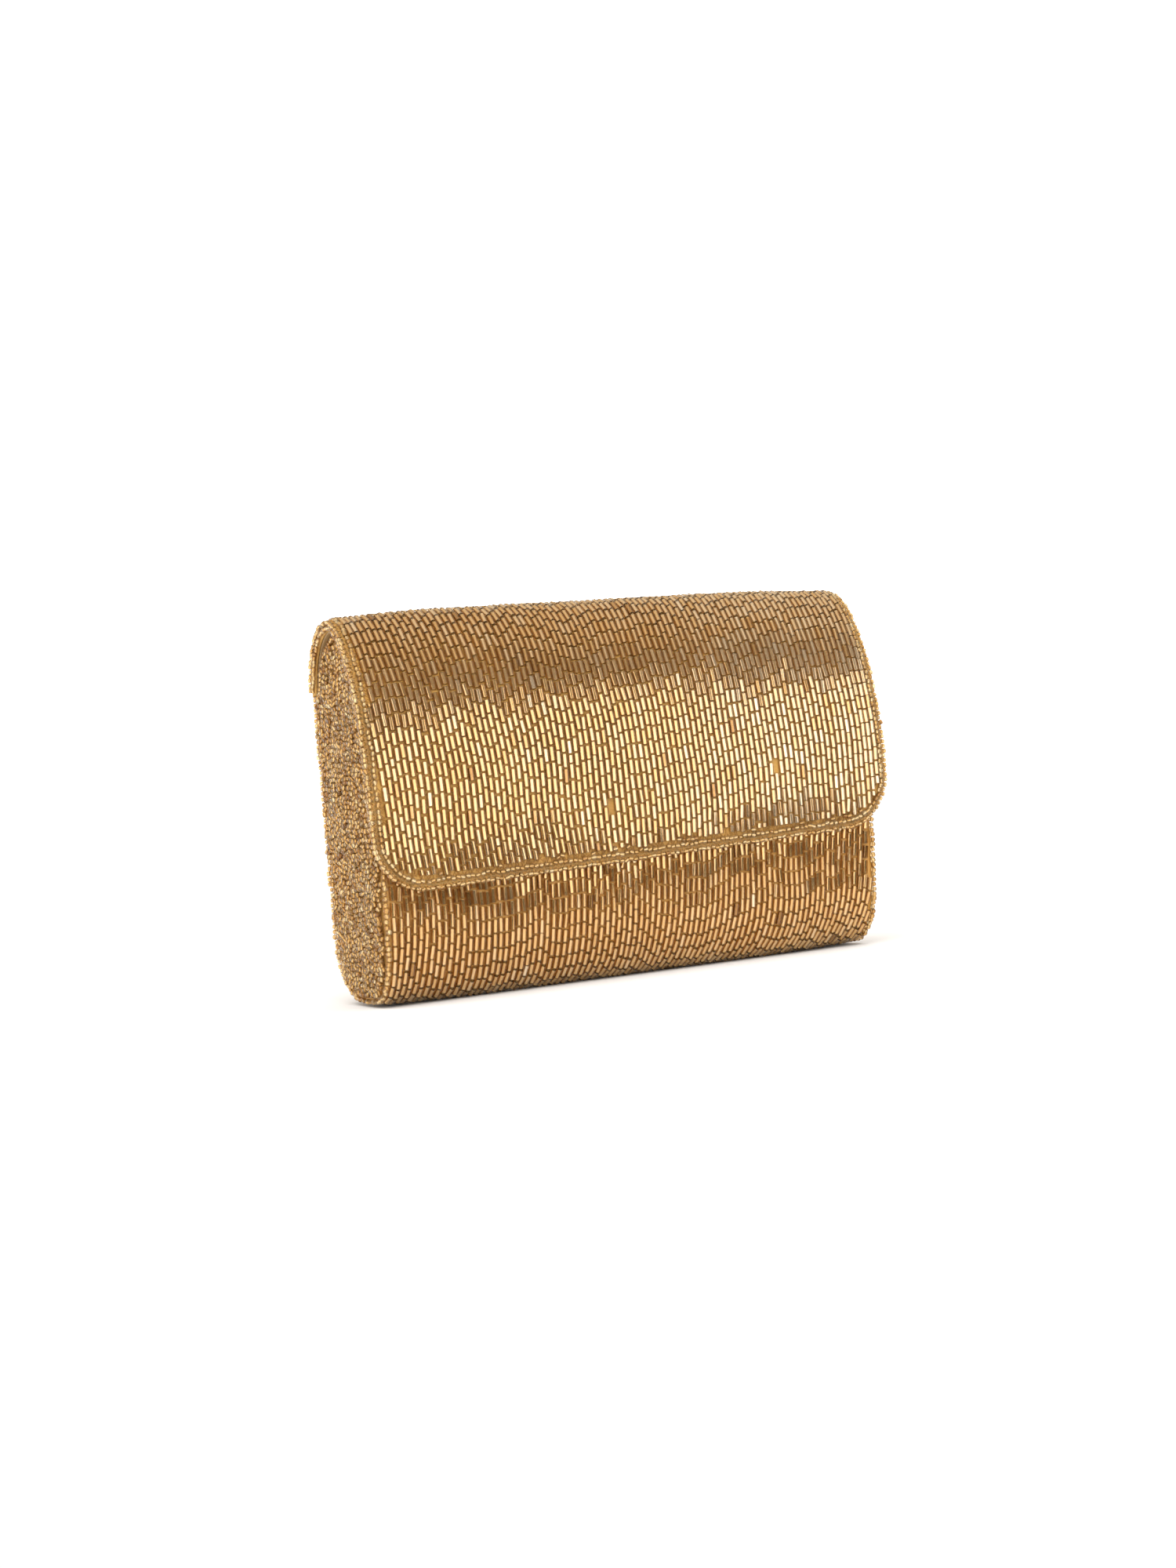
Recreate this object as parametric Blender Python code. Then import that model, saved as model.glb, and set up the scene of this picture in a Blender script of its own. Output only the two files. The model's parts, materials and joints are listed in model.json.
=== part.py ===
"""Beaded evening clutch with stiff boards, a lining, a magnetic snap and a hinged front flap.

Units are metres, +Z is up, and the flap's front face looks towards -Y. The origin is on the surface that
the bag stands on, under the middle of its bounding box. Every wall is a stack of layers, measured inwards
from an outer profile in the YZ plane: beads on fabric, board, lining.
"""

import math

import bmesh
import bpy
import numpy as np
from mathutils import Matrix, Vector

# Overall size
HEIGHT = 0.127
HALF_DEPTH = 0.026
FLAP_HALF_WIDTH = 0.0965
PANEL_HALF_WIDTH = 0.0914
CLEARANCE = 0.0003

# Outer profile: the back and its rounded top, the flap's long front curve, the rounded base
BACK_TOP_SPRING = 0.100
FRONT_TOP_SPRING = 0.065
FLAP_EDGE_HEIGHT = 0.040
FLAP_CORNER_RADIUS = 0.017
FRONT_BULGE_LOW = 0.044
FRONT_TAPER = 0.0006
BASE_FLAT = (-0.005, 0.007)
BASE_FRONT_RISE = 0.024
BASE_BACK_RISE = 0.020
MOUTH_HEIGHT = 0.104
FRONT_BEADS_TOP = 0.047

# Layers, each as (outer, inner) depth below the outer surface of its wall
BEADWORK = (0.0, 0.0022)
BOARD = (0.0025, 0.0039)
LINING = (0.0042, 0.0047)
FRONT_LINING = (0.0050, 0.0055)
POCKET = (0.0050, 0.0056)
FACING = (0.0018, 0.0022)
BINDING = (0.0015, 0.0058)
FLAP_BEADS = (0.0, 0.0015)
FLAP_COVER = (0.0018, 0.0022)
FLAP_BOARD = (0.0025, 0.0037)
FLAP_LINING = (0.0040, 0.0045)
FLAP_TO_FRONT = 0.0056

# Hinge: the axis lies along the outer surface at the top of the back panel
HINGE_HEIGHT = 0.104
HINGE_Y = 0.0259
HINGE_EDGE = 0.0005
HINGE_FLEX = 0.009
HINGE_TAPE_HALF_WIDTH = 0.088
FLAP_BOARD_INSET = 0.0012
FLAP_LINING_INSET = 0.0008

# Gussets: layers as (inner, outer) distance from the middle of the bag along X
GUSSET_BEADWORK = (0.0917, 0.0933)
GUSSET_BOARD = (0.0900, 0.0914)
GUSSET_LINING = (0.0893, 0.0897)
LINING_HALF_WIDTH = 0.0890
GUSSET_BEAD_INSET = 0.0024
GUSSET_BOARD_INSET = 0.0043
GUSSET_LINING_INSET = 0.0058
GUSSET_TOP_DEPTH = 0.0075
GUSSET_HINGE_DROP = 0.004
GUSSET_BINDING = (0.0060, 0.0072)

# Tape over the front panel's free top edge
MOUTH_BINDING_INSET = 0.0028
MOUTH_BINDING_ROUNDING = 0.0006
MOUTH_BINDING_RISE = 0.0016

# Strings of seed beads
SEAM_STRING_X = 0.0926
SEAM_STRING_DEPTH = 0.0011
SEAM_STRING_RADIUS = 0.0009
EDGE_STRING_RADIUS = 0.00075
EDGE_STRING_INSETS = {"outer": 0.0009, "inner": 0.0031}
BEAD_FIELD_INSET_SIDE = 0.0046
BEAD_FIELD_INSET_END = 0.0062
STRING_SIDES = 6

# Slip pocket on the back lining
POCKET_HALF_WIDTH = 0.055
POCKET_HEIGHTS = (0.026, 0.082)

# Magnetic snap, on the middle of the front
SNAP_HEIGHT = 0.056
SNAP_RADIUS = 0.007
SNAP_WALL = 0.00035
SNAP_CAP_HEIGHT = 0.0012
SNAP_CAP_CHAMFER = 0.0001
SNAP_HOLE_RADIUS = 0.0033
SNAP_PLATE_RADIUS = 0.0062
SNAP_SIDES = 32
MAGNET_RADII = (0.0037, 0.0062)
MAGNET_PLAY = (0.0002, 0.0001)
STUD_PLATE_THICKNESS = 0.0006
STUD_PLUG_RADIUS = 0.0022
STUD_PLUG_LENGTH = 0.0009
WASHER_RADIUS = 0.0060
WASHER_HOLE_RADIUS = 0.0018
WASHER_THICKNESS = 0.0004
LEG_SPACING = 0.0046
LEG_SIZE = (0.0005, 0.0024)
LEG_SLOT_MARGIN = 0.0002

FRONT_FACE_Y = -HALF_DEPTH + FLAP_TO_FRONT
FACING_Y = FRONT_FACE_Y + FACING[0]
FLAP_LINING_Y = -HALF_DEPTH + FLAP_LINING[1]

# Fineness of curves, and the angles above which an edge stays sharp
TOP_BACK_POINTS = 12
TOP_FRONT_POINTS = 18
BASE_POINTS = 10
BACK_TOP_POINTS = 3
CORNER_POINTS = 9
STRING_SHARP_ANGLE = math.radians(70)
TURNED_SHARP_ANGLE = math.radians(35)


def clear_scene():
    for old in list(bpy.data.objects):
        bpy.data.objects.remove(old, do_unlink=True)


# Profiles


def ellipse_arc(centre, semi_axes, start, stop, count):
    """Points (y, z) on an ellipse between two angles in degrees, both ends included."""
    angles = np.radians(np.linspace(start, stop, count))
    return [
        (centre[0] + semi_axes[0] * math.cos(a), centre[1] + semi_axes[1] * math.sin(a)) for a in angles
    ]


def back_top_angle(height):
    """The angle in degrees on the back's top curve at a height."""
    return math.degrees(math.asin((height - BACK_TOP_SPRING) / (HEIGHT - BACK_TOP_SPRING)))


class Profile:
    """A line of points in the YZ plane with its outward normals and its length."""

    def __init__(self, points):
        kept = [points[0]]
        for point in points[1:]:
            if math.dist(point, kept[-1]) > 1e-6:
                kept.append(point)
        self.points = np.array(kept)
        steps = np.diff(self.points, axis=0)
        lengths = np.linalg.norm(steps, axis=1)
        self.along = np.concatenate([[0], np.cumsum(lengths)])
        self.length = float(self.along[-1])
        directions = steps / lengths[:, None]
        tangents = np.vstack([directions[:1], directions[:-1] + directions[1:], directions[-1:]])
        tangents /= np.linalg.norm(tangents, axis=1)[:, None]
        self.normals = np.stack([tangents[:, 1], -tangents[:, 0]], axis=1)

    def at(self, distance, depth=0.0):
        """The point at a distance along the profile, sunk by a depth below it."""
        point = [np.interp(distance, self.along, self.points[:, k]) for k in range(2)]
        normal = self.normal(distance)
        return point[0] - normal[0] * depth, point[1] - normal[1] * depth

    def normal(self, distance):
        normal = np.array([np.interp(distance, self.along, self.normals[:, k]) for k in range(2)])
        return normal / np.linalg.norm(normal)

    def stations(self, start, stop):
        """Distances of the profile's own points between two distances, with both ends."""
        inside = [float(d) for d in self.along if start + CLEARANCE < d < stop - CLEARANCE]
        return [start, *inside, stop]

    def distance_at_height(self, height, first):
        """How far along the profile its height is first, or last, the given one."""
        hits = []
        for k in range(len(self.points) - 1):
            low, high = self.points[k][1], self.points[k + 1][1]
            if min(low, high) <= height <= max(low, high) and low != high:
                share = (height - low) / (high - low)
                hits.append(self.along[k] + share * (self.along[k + 1] - self.along[k]))
        return float(hits[0] if first else hits[-1])


def flap_profile():
    """The flap's outer surface, from the hinge over the top and down the front to its edge."""
    back = ellipse_arc(
        (0, BACK_TOP_SPRING),
        (HALF_DEPTH, HEIGHT - BACK_TOP_SPRING),
        back_top_angle(HINGE_HEIGHT),
        90,
        TOP_BACK_POINTS,
    )
    front = ellipse_arc(
        (0, FRONT_TOP_SPRING), (HALF_DEPTH, HEIGHT - FRONT_TOP_SPRING), 90, 180, TOP_FRONT_POINTS
    )
    return Profile([*back, *front, (-HALF_DEPTH, FLAP_EDGE_HEIGHT)])


def body_profile(flap):
    """The body's outer surface, from the front's mouth edge down, under the base and up the back."""
    mouth = flap.distance_at_height(MOUTH_HEIGHT, first=False)
    spring = flap.distance_at_height(FRONT_TOP_SPRING, first=False)
    upper = [flap.at(d, FLAP_TO_FRONT) for d in flap.stations(mouth, spring)]
    low_front = FRONT_FACE_Y + FRONT_TAPER
    base_front = ellipse_arc(
        (BASE_FLAT[0], BASE_FRONT_RISE), (BASE_FLAT[0] - low_front, BASE_FRONT_RISE), 180, 270, BASE_POINTS
    )
    base_back = ellipse_arc(
        (BASE_FLAT[1], BASE_BACK_RISE), (HALF_DEPTH - BASE_FLAT[1], BASE_BACK_RISE), 270, 360, BASE_POINTS
    )
    back_top = ellipse_arc(
        (0, BACK_TOP_SPRING),
        (HALF_DEPTH, HEIGHT - BACK_TOP_SPRING),
        0,
        back_top_angle(HINGE_HEIGHT - HINGE_EDGE),
        BACK_TOP_POINTS,
    )
    return Profile([*upper, (FRONT_FACE_Y, FRONT_BULGE_LOW), *base_front, *base_back, *back_top])


FLAP = flap_profile()
BODY = body_profile(FLAP)
FRONT_END = BODY.distance_at_height(BASE_FRONT_RISE, first=True)
BACK_START = BODY.distance_at_height(BASE_BACK_RISE, first=False)


# Materials


def material(name, colour, roughness, metallic=0.0):
    made = bpy.data.materials.new(name)
    made.use_nodes = True
    shader = made.node_tree.nodes["Principled BSDF"]
    shader.inputs["Base Color"].default_value = (*colour, 1)
    shader.inputs["Roughness"].default_value = roughness
    shader.inputs["Metallic"].default_value = metallic
    return made


def gold_bugle(name):
    return material(name, (0.62, 0.42, 0.20), 0.22, 0.6)


def gold_seed(name):
    return material(name, (0.50, 0.33, 0.15), 0.28, 0.5)


def tan_fabric(name):
    return material(name, (0.45, 0.27, 0.13), 0.75)


def satin(name):
    return material(name, (0.58, 0.42, 0.25), 0.45)


def grey_board(name):
    return material(name, (0.46, 0.42, 0.36), 0.90)


def gilt_metal(name):
    return material(name, (0.83, 0.65, 0.35), 0.25, 1.0)


def steel(name):
    return material(name, (0.60, 0.60, 0.62), 0.35, 1.0)


def dark_magnet(name):
    return material(name, (0.10, 0.10, 0.11), 0.60, 0.3)


# Solids


def finish_object(name, mesh_builder, finish):
    """Makes an object of a filled bmesh, with its faces pointing out and its own material."""
    bmesh.ops.recalc_face_normals(mesh_builder, faces=mesh_builder.faces)
    mesh = bpy.data.meshes.new(name)
    mesh_builder.to_mesh(mesh)
    mesh_builder.free()
    mesh.materials.append(finish(name))
    made = bpy.data.objects.new(name, mesh)
    bpy.context.scene.collection.objects.link(made)
    return made


def smooth_below(made, sharp_angle):
    """Shades an object smooth, with its edges above an angle left sharp."""
    made.data.shade_smooth()
    made.data.set_sharp_from_angle(angle=sharp_angle)
    return made


def bridge_sides(built, rings):
    """Faces between each ring of vertices and the next."""
    for ring, following in zip(rings, rings[1:]):
        for k in range(len(ring)):
            after = (k + 1) % len(ring)
            built.faces.new((ring[k], ring[after], following[after], following[k]))


def bridge_rings(built, rings):
    """Faces between each ring of vertices and the next, with the first and last ring filled."""
    bridge_sides(built, rings)
    built.faces.new(rings[0])
    built.faces.new(rings[-1])


def wall_strip(name, profile, outline, layer, finish):
    """A wall that spans the bag across X: outline is a list of (distance, half width) along the profile."""
    built = bmesh.new()
    rings = []
    for distance, half in outline:
        outer, inner = (profile.at(distance, depth) for depth in layer)
        corners = ((-half, *outer), (half, *outer), (half, *inner), (-half, *inner))
        rings.append([built.verts.new(corner) for corner in corners])
    bridge_rings(built, rings)
    return finish_object(name, built, finish)


def straight_outline(profile, start, stop, half):
    return [(distance, half) for distance in profile.stations(start, stop)]


def flap_outline(start, inset_side, inset_end):
    """The flap's outline: straight sides, then two rounded corners at its front edge."""
    half = FLAP_HALF_WIDTH - inset_side
    end = FLAP.length - inset_end
    radius = FLAP_CORNER_RADIUS - inset_side
    outline = straight_outline(FLAP, start, end - radius, half)
    for angle in np.radians(np.linspace(0, 90, CORNER_POINTS)[1:]):
        outline.append((end - radius + radius * math.sin(angle), half - radius + radius * math.cos(angle)))
    return outline


def gusset_top_stations():
    """Distances along the flap's profile that a gusset's top edge runs under, from the hinge to the mouth."""
    hinge_side = FLAP.distance_at_height(HINGE_HEIGHT + BINDING[1], first=True)
    mouth_side = FLAP.distance_at_height(MOUTH_HEIGHT + BINDING[0], first=False)
    return FLAP.stations(hinge_side, mouth_side)


def gusset_loop(wall_inset, top_depth):
    """A gusset's closed outline in the YZ plane: down the front, under the base, up the back, over the top."""
    walls = [BODY.at(distance, wall_inset) for distance in BODY.stations(0, BODY.length - GUSSET_HINGE_DROP)]
    top = [FLAP.at(distance, top_depth) for distance in gusset_top_stations()]
    return [*walls, *top]


def gusset_plate(name, side, reach, wall_inset, finish):
    """A flat panel across one end of the bag, between two distances along X."""
    built = bmesh.new()
    loop = gusset_loop(wall_inset, GUSSET_TOP_DEPTH)
    rings = [[built.verts.new((side * x, y, z)) for y, z in loop] for x in reach]
    bridge_rings(built, rings)
    return finish_object(name, built, finish)


def gusset_binding(name, side):
    """Tape over a gusset's free top edge."""
    built = bmesh.new()
    rings = []
    for distance in gusset_top_stations():
        outer, inner = (FLAP.at(distance, depth) for depth in GUSSET_BINDING)
        low, high = side * GUSSET_LINING[0], side * GUSSET_BEADWORK[1]
        corners = ((low, *outer), (high, *outer), (high, *inner), (low, *inner))
        rings.append([built.verts.new(corner) for corner in corners])
    bridge_rings(built, rings)
    return finish_object(name, built, tan_fabric)


def bead_string(name, points, normals, radius):
    """A run of threaded beads as one tube along a line that lies on the bag's surface."""
    built = bmesh.new()
    rings = []
    for k, (point, normal) in enumerate(zip(points, normals)):
        before, after = points[max(k - 1, 0)], points[min(k + 1, len(points) - 1)]
        across = (Vector(after) - Vector(before)).normalized().cross(normal)
        ring = []
        for side in range(STRING_SIDES):
            angle = math.tau * side / STRING_SIDES
            spoke = normal * math.cos(angle) + across * math.sin(angle)
            ring.append(built.verts.new(Vector(point) + spoke * radius))
        rings.append(ring)
    bridge_rings(built, rings)
    return smooth_below(finish_object(name, built, gold_seed), STRING_SHARP_ANGLE)


def seam_string(name, side):
    """The string of seed beads along the seam between a gusset and the body's outer run."""
    points, normals = [], []
    for distance in BODY.stations(0, BODY.length):
        points.append((side * SEAM_STRING_X, *BODY.at(distance, SEAM_STRING_DEPTH)))
        normals.append(Vector((0, *BODY.normal(distance))))
    return bead_string(name, points, normals, SEAM_STRING_RADIUS)


def edge_string(name, inset):
    """A string of seed beads down one side of the flap, along its front edge and up the other side."""
    outline = flap_outline(HINGE_EDGE, inset, inset)
    route = [(-half, distance) for distance, half in outline]
    route += [(half, distance) for distance, half in reversed(outline)]
    points = [(x, *FLAP.at(distance, EDGE_STRING_RADIUS)) for x, distance in route]
    normals = [Vector((0, *FLAP.normal(distance))) for _, distance in route]
    return bead_string(name, points, normals, EDGE_STRING_RADIUS)


# Boolean tools


def box(name, low, high):
    built = bmesh.new()
    bmesh.ops.create_cube(built, size=1)
    size = Vector(high) - Vector(low)
    bmesh.ops.scale(built, vec=size, verts=built.verts)
    bmesh.ops.translate(built, vec=(Vector(low) + Vector(high)) / 2, verts=built.verts)
    return finish_object(name, built, steel)


def combine(target, tool, operation):
    """Applies a Boolean and removes the tool, so that one closed body is left."""
    modifier = target.modifiers.new(operation.lower(), "BOOLEAN")
    modifier.operation = operation
    modifier.solver = "EXACT"
    modifier.object = tool
    graph = bpy.context.evaluated_depsgraph_get()
    result = bpy.data.meshes.new_from_object(target.evaluated_get(graph))
    target.modifiers.clear()
    target.data = result
    bpy.data.objects.remove(tool, do_unlink=True)


def leg_boxes(near, far, margin=0.0):
    """The two bent-over legs of a snap half, as boxes between two depths along Y."""
    low, high = sorted((near, far))
    half_x, half_z = LEG_SIZE[0] / 2 + margin, LEG_SIZE[1] / 2 + margin
    for x in (-LEG_SPACING / 2, LEG_SPACING / 2):
        corner = (x - half_x, low, SNAP_HEIGHT - half_z)
        yield box("leg", corner, (x + half_x, high, SNAP_HEIGHT + half_z))


def add_legs(target, near, far):
    for leg in leg_boxes(near, far):
        combine(target, leg, "UNION")


def slot_for_legs(targets, near, far):
    for target in targets:
        for leg in leg_boxes(near, far, LEG_SLOT_MARGIN):
            combine(target, leg, "DIFFERENCE")


# Snap, turned about the line through its middle along Y


def turned_rings(built, section):
    """A ring of vertices about the snap's axis for each (radius, y) point of a section."""
    rings = []
    for radius, y in section:
        ring = []
        for k in range(SNAP_SIDES):
            angle = math.tau * k / SNAP_SIDES
            place = (radius * math.cos(angle), y, SNAP_HEIGHT + radius * math.sin(angle))
            ring.append(built.verts.new(place))
        rings.append(ring)
    return rings


def turned_ring(name, section, finish):
    """A ring turned about the snap's axis, of a section that is a closed loop."""
    built = bmesh.new()
    rings = turned_rings(built, section)
    bridge_sides(built, [*rings, rings[0]])
    return smooth_below(finish_object(name, built, finish), TURNED_SHARP_ANGLE)


def turned_disc(name, section, finish):
    """A solid turned about the snap's axis, of a section that runs from its first end to its last."""
    built = bmesh.new()
    bridge_rings(built, turned_rings(built, section))
    return smooth_below(finish_object(name, built, finish), TURNED_SHARP_ANGLE)


def flat_ring_section(radii, low, high):
    return [(radii[0], low), (radii[1], low), (radii[1], high), (radii[0], high)]


def snap_socket(front_board, front_facing):
    """The half of the snap on the front panel: cap, magnet, plate with legs, and washer behind the board."""
    seat = FACING_Y - CLEARANCE
    plate_top = seat - CLEARANCE
    crown = plate_top - SNAP_CAP_HEIGHT
    rim = SNAP_RADIUS - SNAP_WALL
    inside_crown = crown + SNAP_WALL - SNAP_CAP_CHAMFER
    hole_wall = SNAP_HOLE_RADIUS + SNAP_WALL - SNAP_CAP_CHAMFER
    cap_section = [
        (rim, seat),
        (SNAP_RADIUS, seat),
        (SNAP_RADIUS, crown + SNAP_WALL),
        (rim, crown),
        (SNAP_HOLE_RADIUS + SNAP_WALL, crown),
        (SNAP_HOLE_RADIUS, crown + SNAP_WALL),
        (SNAP_HOLE_RADIUS, plate_top - CLEARANCE / 2),
        (hole_wall, plate_top - CLEARANCE / 2),
        (hole_wall, inside_crown),
        (rim, inside_crown),
    ]
    cap = turned_ring("snap_socket_cap", cap_section, gilt_metal)
    magnet_section = flat_ring_section(
        MAGNET_RADII, plate_top - MAGNET_PLAY[0], inside_crown + MAGNET_PLAY[1]
    )
    magnet = turned_ring("snap_magnet", magnet_section, dark_magnet)
    plate_section = [(SNAP_PLATE_RADIUS, plate_top), (SNAP_PLATE_RADIUS, seat)]
    plate = turned_disc("snap_socket_plate", plate_section, steel)
    washer_near = FRONT_FACE_Y + BOARD[1] + CLEARANCE
    washer_far = washer_near + WASHER_THICKNESS
    washer_section = flat_ring_section((WASHER_HOLE_RADIUS, WASHER_RADIUS), washer_near, washer_far)
    washer = turned_ring("snap_socket_washer", washer_section, steel)
    add_legs(plate, (seat + plate_top) / 2, washer_far)
    slot_for_legs([front_board, front_facing, washer], seat - CLEARANCE, washer_far + CLEARANCE)
    return [cap, magnet, plate, washer]


def snap_stud(flap_board, flap_lining):
    """The half of the snap on the flap: plate with its plug and legs, and a washer let into the board."""
    seat = FLAP_LINING_Y + CLEARANCE
    face = seat + STUD_PLATE_THICKNESS
    plug_section = [
        (SNAP_RADIUS, seat),
        (SNAP_RADIUS, face - SNAP_WALL / 2),
        (SNAP_RADIUS - SNAP_WALL / 2, face),
        (STUD_PLUG_RADIUS, face),
        (STUD_PLUG_RADIUS, face + STUD_PLUG_LENGTH - SNAP_WALL),
        (STUD_PLUG_RADIUS - SNAP_WALL, face + STUD_PLUG_LENGTH),
    ]
    stud = turned_disc("snap_stud", plug_section, gilt_metal)
    board_outer = -HALF_DEPTH + FLAP_BOARD[0]
    washer_section = flat_ring_section(
        (WASHER_HOLE_RADIUS, WASHER_RADIUS), board_outer, board_outer + WASHER_THICKNESS
    )
    washer = turned_ring("snap_stud_washer", washer_section, steel)
    pocket_section = [
        (WASHER_RADIUS + CLEARANCE, board_outer - CLEARANCE),
        (WASHER_RADIUS + CLEARANCE, board_outer + WASHER_THICKNESS + CLEARANCE),
    ]
    combine(flap_board, turned_disc("washer_pocket", pocket_section, steel), "DIFFERENCE")
    add_legs(stud, seat + STUD_PLATE_THICKNESS / 2, board_outer)
    slot_for_legs([flap_board, flap_lining, washer], board_outer - CLEARANCE, seat - CLEARANCE / 2)
    return [stud, washer]


# The bag's groups of pieces


def body_walls():
    """Beadwork, boards and lining of the front, base and back."""
    bead_top = BODY.distance_at_height(FRONT_BEADS_TOP, first=True)
    facing_end = bead_top - CLEARANCE
    front = (CLEARANCE, FRONT_END - CLEARANCE)
    base = (FRONT_END, BACK_START)
    back = (BACK_START + CLEARANCE, BODY.length)
    bead_runs = {
        "front_beadwork": (bead_top, front[1]),
        "base_beadwork": base,
        "back_beadwork": back,
    }
    for name, (start, stop) in bead_runs.items():
        outline = straight_outline(BODY, start, stop, PANEL_HALF_WIDTH)
        wall_strip(name, BODY, outline, BEADWORK, gold_bugle)
    boards = {}
    for name, (start, stop) in {"front_board": front, "base_board": base, "back_board": back}.items():
        outline = straight_outline(BODY, start, stop, PANEL_HALF_WIDTH)
        boards[name] = wall_strip(name, BODY, outline, BOARD, grey_board)
    facing_outline = straight_outline(BODY, front[0], facing_end, PANEL_HALF_WIDTH)
    facing = wall_strip("front_facing", BODY, facing_outline, FACING, satin)
    linings = {
        "lining_front": (front, FRONT_LINING),
        "lining_base": (base, FRONT_LINING),
        "lining_back": (back, LINING),
    }
    for name, ((start, stop), layer) in linings.items():
        wall_strip(name, BODY, straight_outline(BODY, start, stop, LINING_HALF_WIDTH), layer, satin)
    return boards, facing


def mouth_binding():
    """Tape over the free top edge of the front panel."""
    built = bmesh.new()
    rings = []
    edge, normal = BODY.points[0], BODY.normals[0]
    upward = Vector((0, normal[1], -normal[0]))
    half = PANEL_HALF_WIDTH - MOUTH_BINDING_INSET
    shoulder = MOUTH_BINDING_RISE - MOUTH_BINDING_ROUNDING
    for lift, taper in (
        (CLEARANCE / 2, 0.0),
        (shoulder, 0.0),
        (MOUTH_BINDING_RISE, MOUTH_BINDING_ROUNDING),
    ):
        outer, inner = BINDING[0] + taper, BINDING[1] - taper
        ring = []
        for x, depth in ((-half, outer), (half, outer), (half, inner), (-half, inner)):
            place = Vector((x, edge[0] - normal[0] * depth, edge[1] - normal[1] * depth))
            ring.append(built.verts.new(place + upward * lift))
        rings.append(ring)
    bridge_rings(built, rings)
    return finish_object("mouth_binding", built, tan_fabric)


def slip_pocket():
    """A flat pocket panel sewn to the back lining."""
    low, high = (BODY.distance_at_height(height, first=False) for height in POCKET_HEIGHTS)
    outline = straight_outline(BODY, low, high, POCKET_HALF_WIDTH)
    return wall_strip("slip_pocket", BODY, outline, POCKET, satin)


def gussets():
    """Each end's beadwork, board, lining, edge binding and seam beads."""
    for side, word in ((-1, "left"), (1, "right")):
        gusset_plate(f"gusset_beadwork_{word}", side, GUSSET_BEADWORK, GUSSET_BEAD_INSET, gold_seed)
        gusset_plate(f"gusset_board_{word}", side, GUSSET_BOARD, GUSSET_BOARD_INSET, grey_board)
        gusset_plate(f"lining_gusset_{word}", side, GUSSET_LINING, GUSSET_LINING_INSET, satin)
        gusset_binding(f"gusset_binding_{word}", side)
        seam_string(f"seam_beads_{word}", side)


def flap_pieces():
    """Everything that turns with the flap, apart from the snap's stud."""
    field = flap_outline(HINGE_EDGE, BEAD_FIELD_INSET_SIDE, BEAD_FIELD_INSET_END)
    cover = flap_outline(HINGE_EDGE, 0.0, 0.0)
    board_outline = flap_outline(HINGE_FLEX, FLAP_BOARD_INSET, FLAP_BOARD_INSET)
    lining_outline = flap_outline(HINGE_EDGE, FLAP_LINING_INSET, FLAP_LINING_INSET)
    tape_outline = straight_outline(FLAP, HINGE_EDGE, HINGE_FLEX - CLEARANCE, HINGE_TAPE_HALF_WIDTH)
    beadwork = wall_strip("flap_beadwork", FLAP, field, FLAP_BEADS, gold_bugle)
    fabric = wall_strip("flap_cover", FLAP, cover, FLAP_COVER, tan_fabric)
    board = wall_strip("flap_board", FLAP, board_outline, FLAP_BOARD, grey_board)
    lining = wall_strip("flap_lining", FLAP, lining_outline, FLAP_LINING, satin)
    tape = wall_strip("hinge_tape", FLAP, tape_outline, FLAP_BOARD, tan_fabric)
    strings = [
        edge_string(f"flap_edge_beads_{word}", inset) for word, inset in EDGE_STRING_INSETS.items()
    ]
    return board, lining, [beadwork, fabric, board, lining, tape, *strings]


def hang_on_hinge(pieces):
    """Parents the flap's pieces to an empty on the hinge axis."""
    place = Vector((0, HINGE_Y, HINGE_HEIGHT))
    pivot = bpy.data.objects.new("flap_hinge", None)
    pivot.location = place
    bpy.context.scene.collection.objects.link(pivot)
    for piece in pieces:
        piece.parent = pivot
        piece.matrix_parent_inverse = Matrix.Translation(place).inverted()


def main():
    clear_scene()
    boards, facing = body_walls()
    mouth_binding()
    slip_pocket()
    gussets()
    flap_board, flap_lining, turning = flap_pieces()
    snap_socket(boards["front_board"], facing)
    turning += snap_stud(flap_board, flap_lining)
    hang_on_hinge(turning)


main()
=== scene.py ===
"""Looks of a beaded evening clutch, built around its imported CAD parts.

Two lines in the YZ plane are the outer surfaces of the flap and the body. A map on each turns (across,
along, depth) into a place on the bag, with its sag and skew. Cloth, board and beads are all set by these
maps. Beads are real glass shapes, each with its own small tilt and tone.
"""

import json
import math

import bpy
import numpy as np
from mathutils import Matrix, Vector


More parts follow.
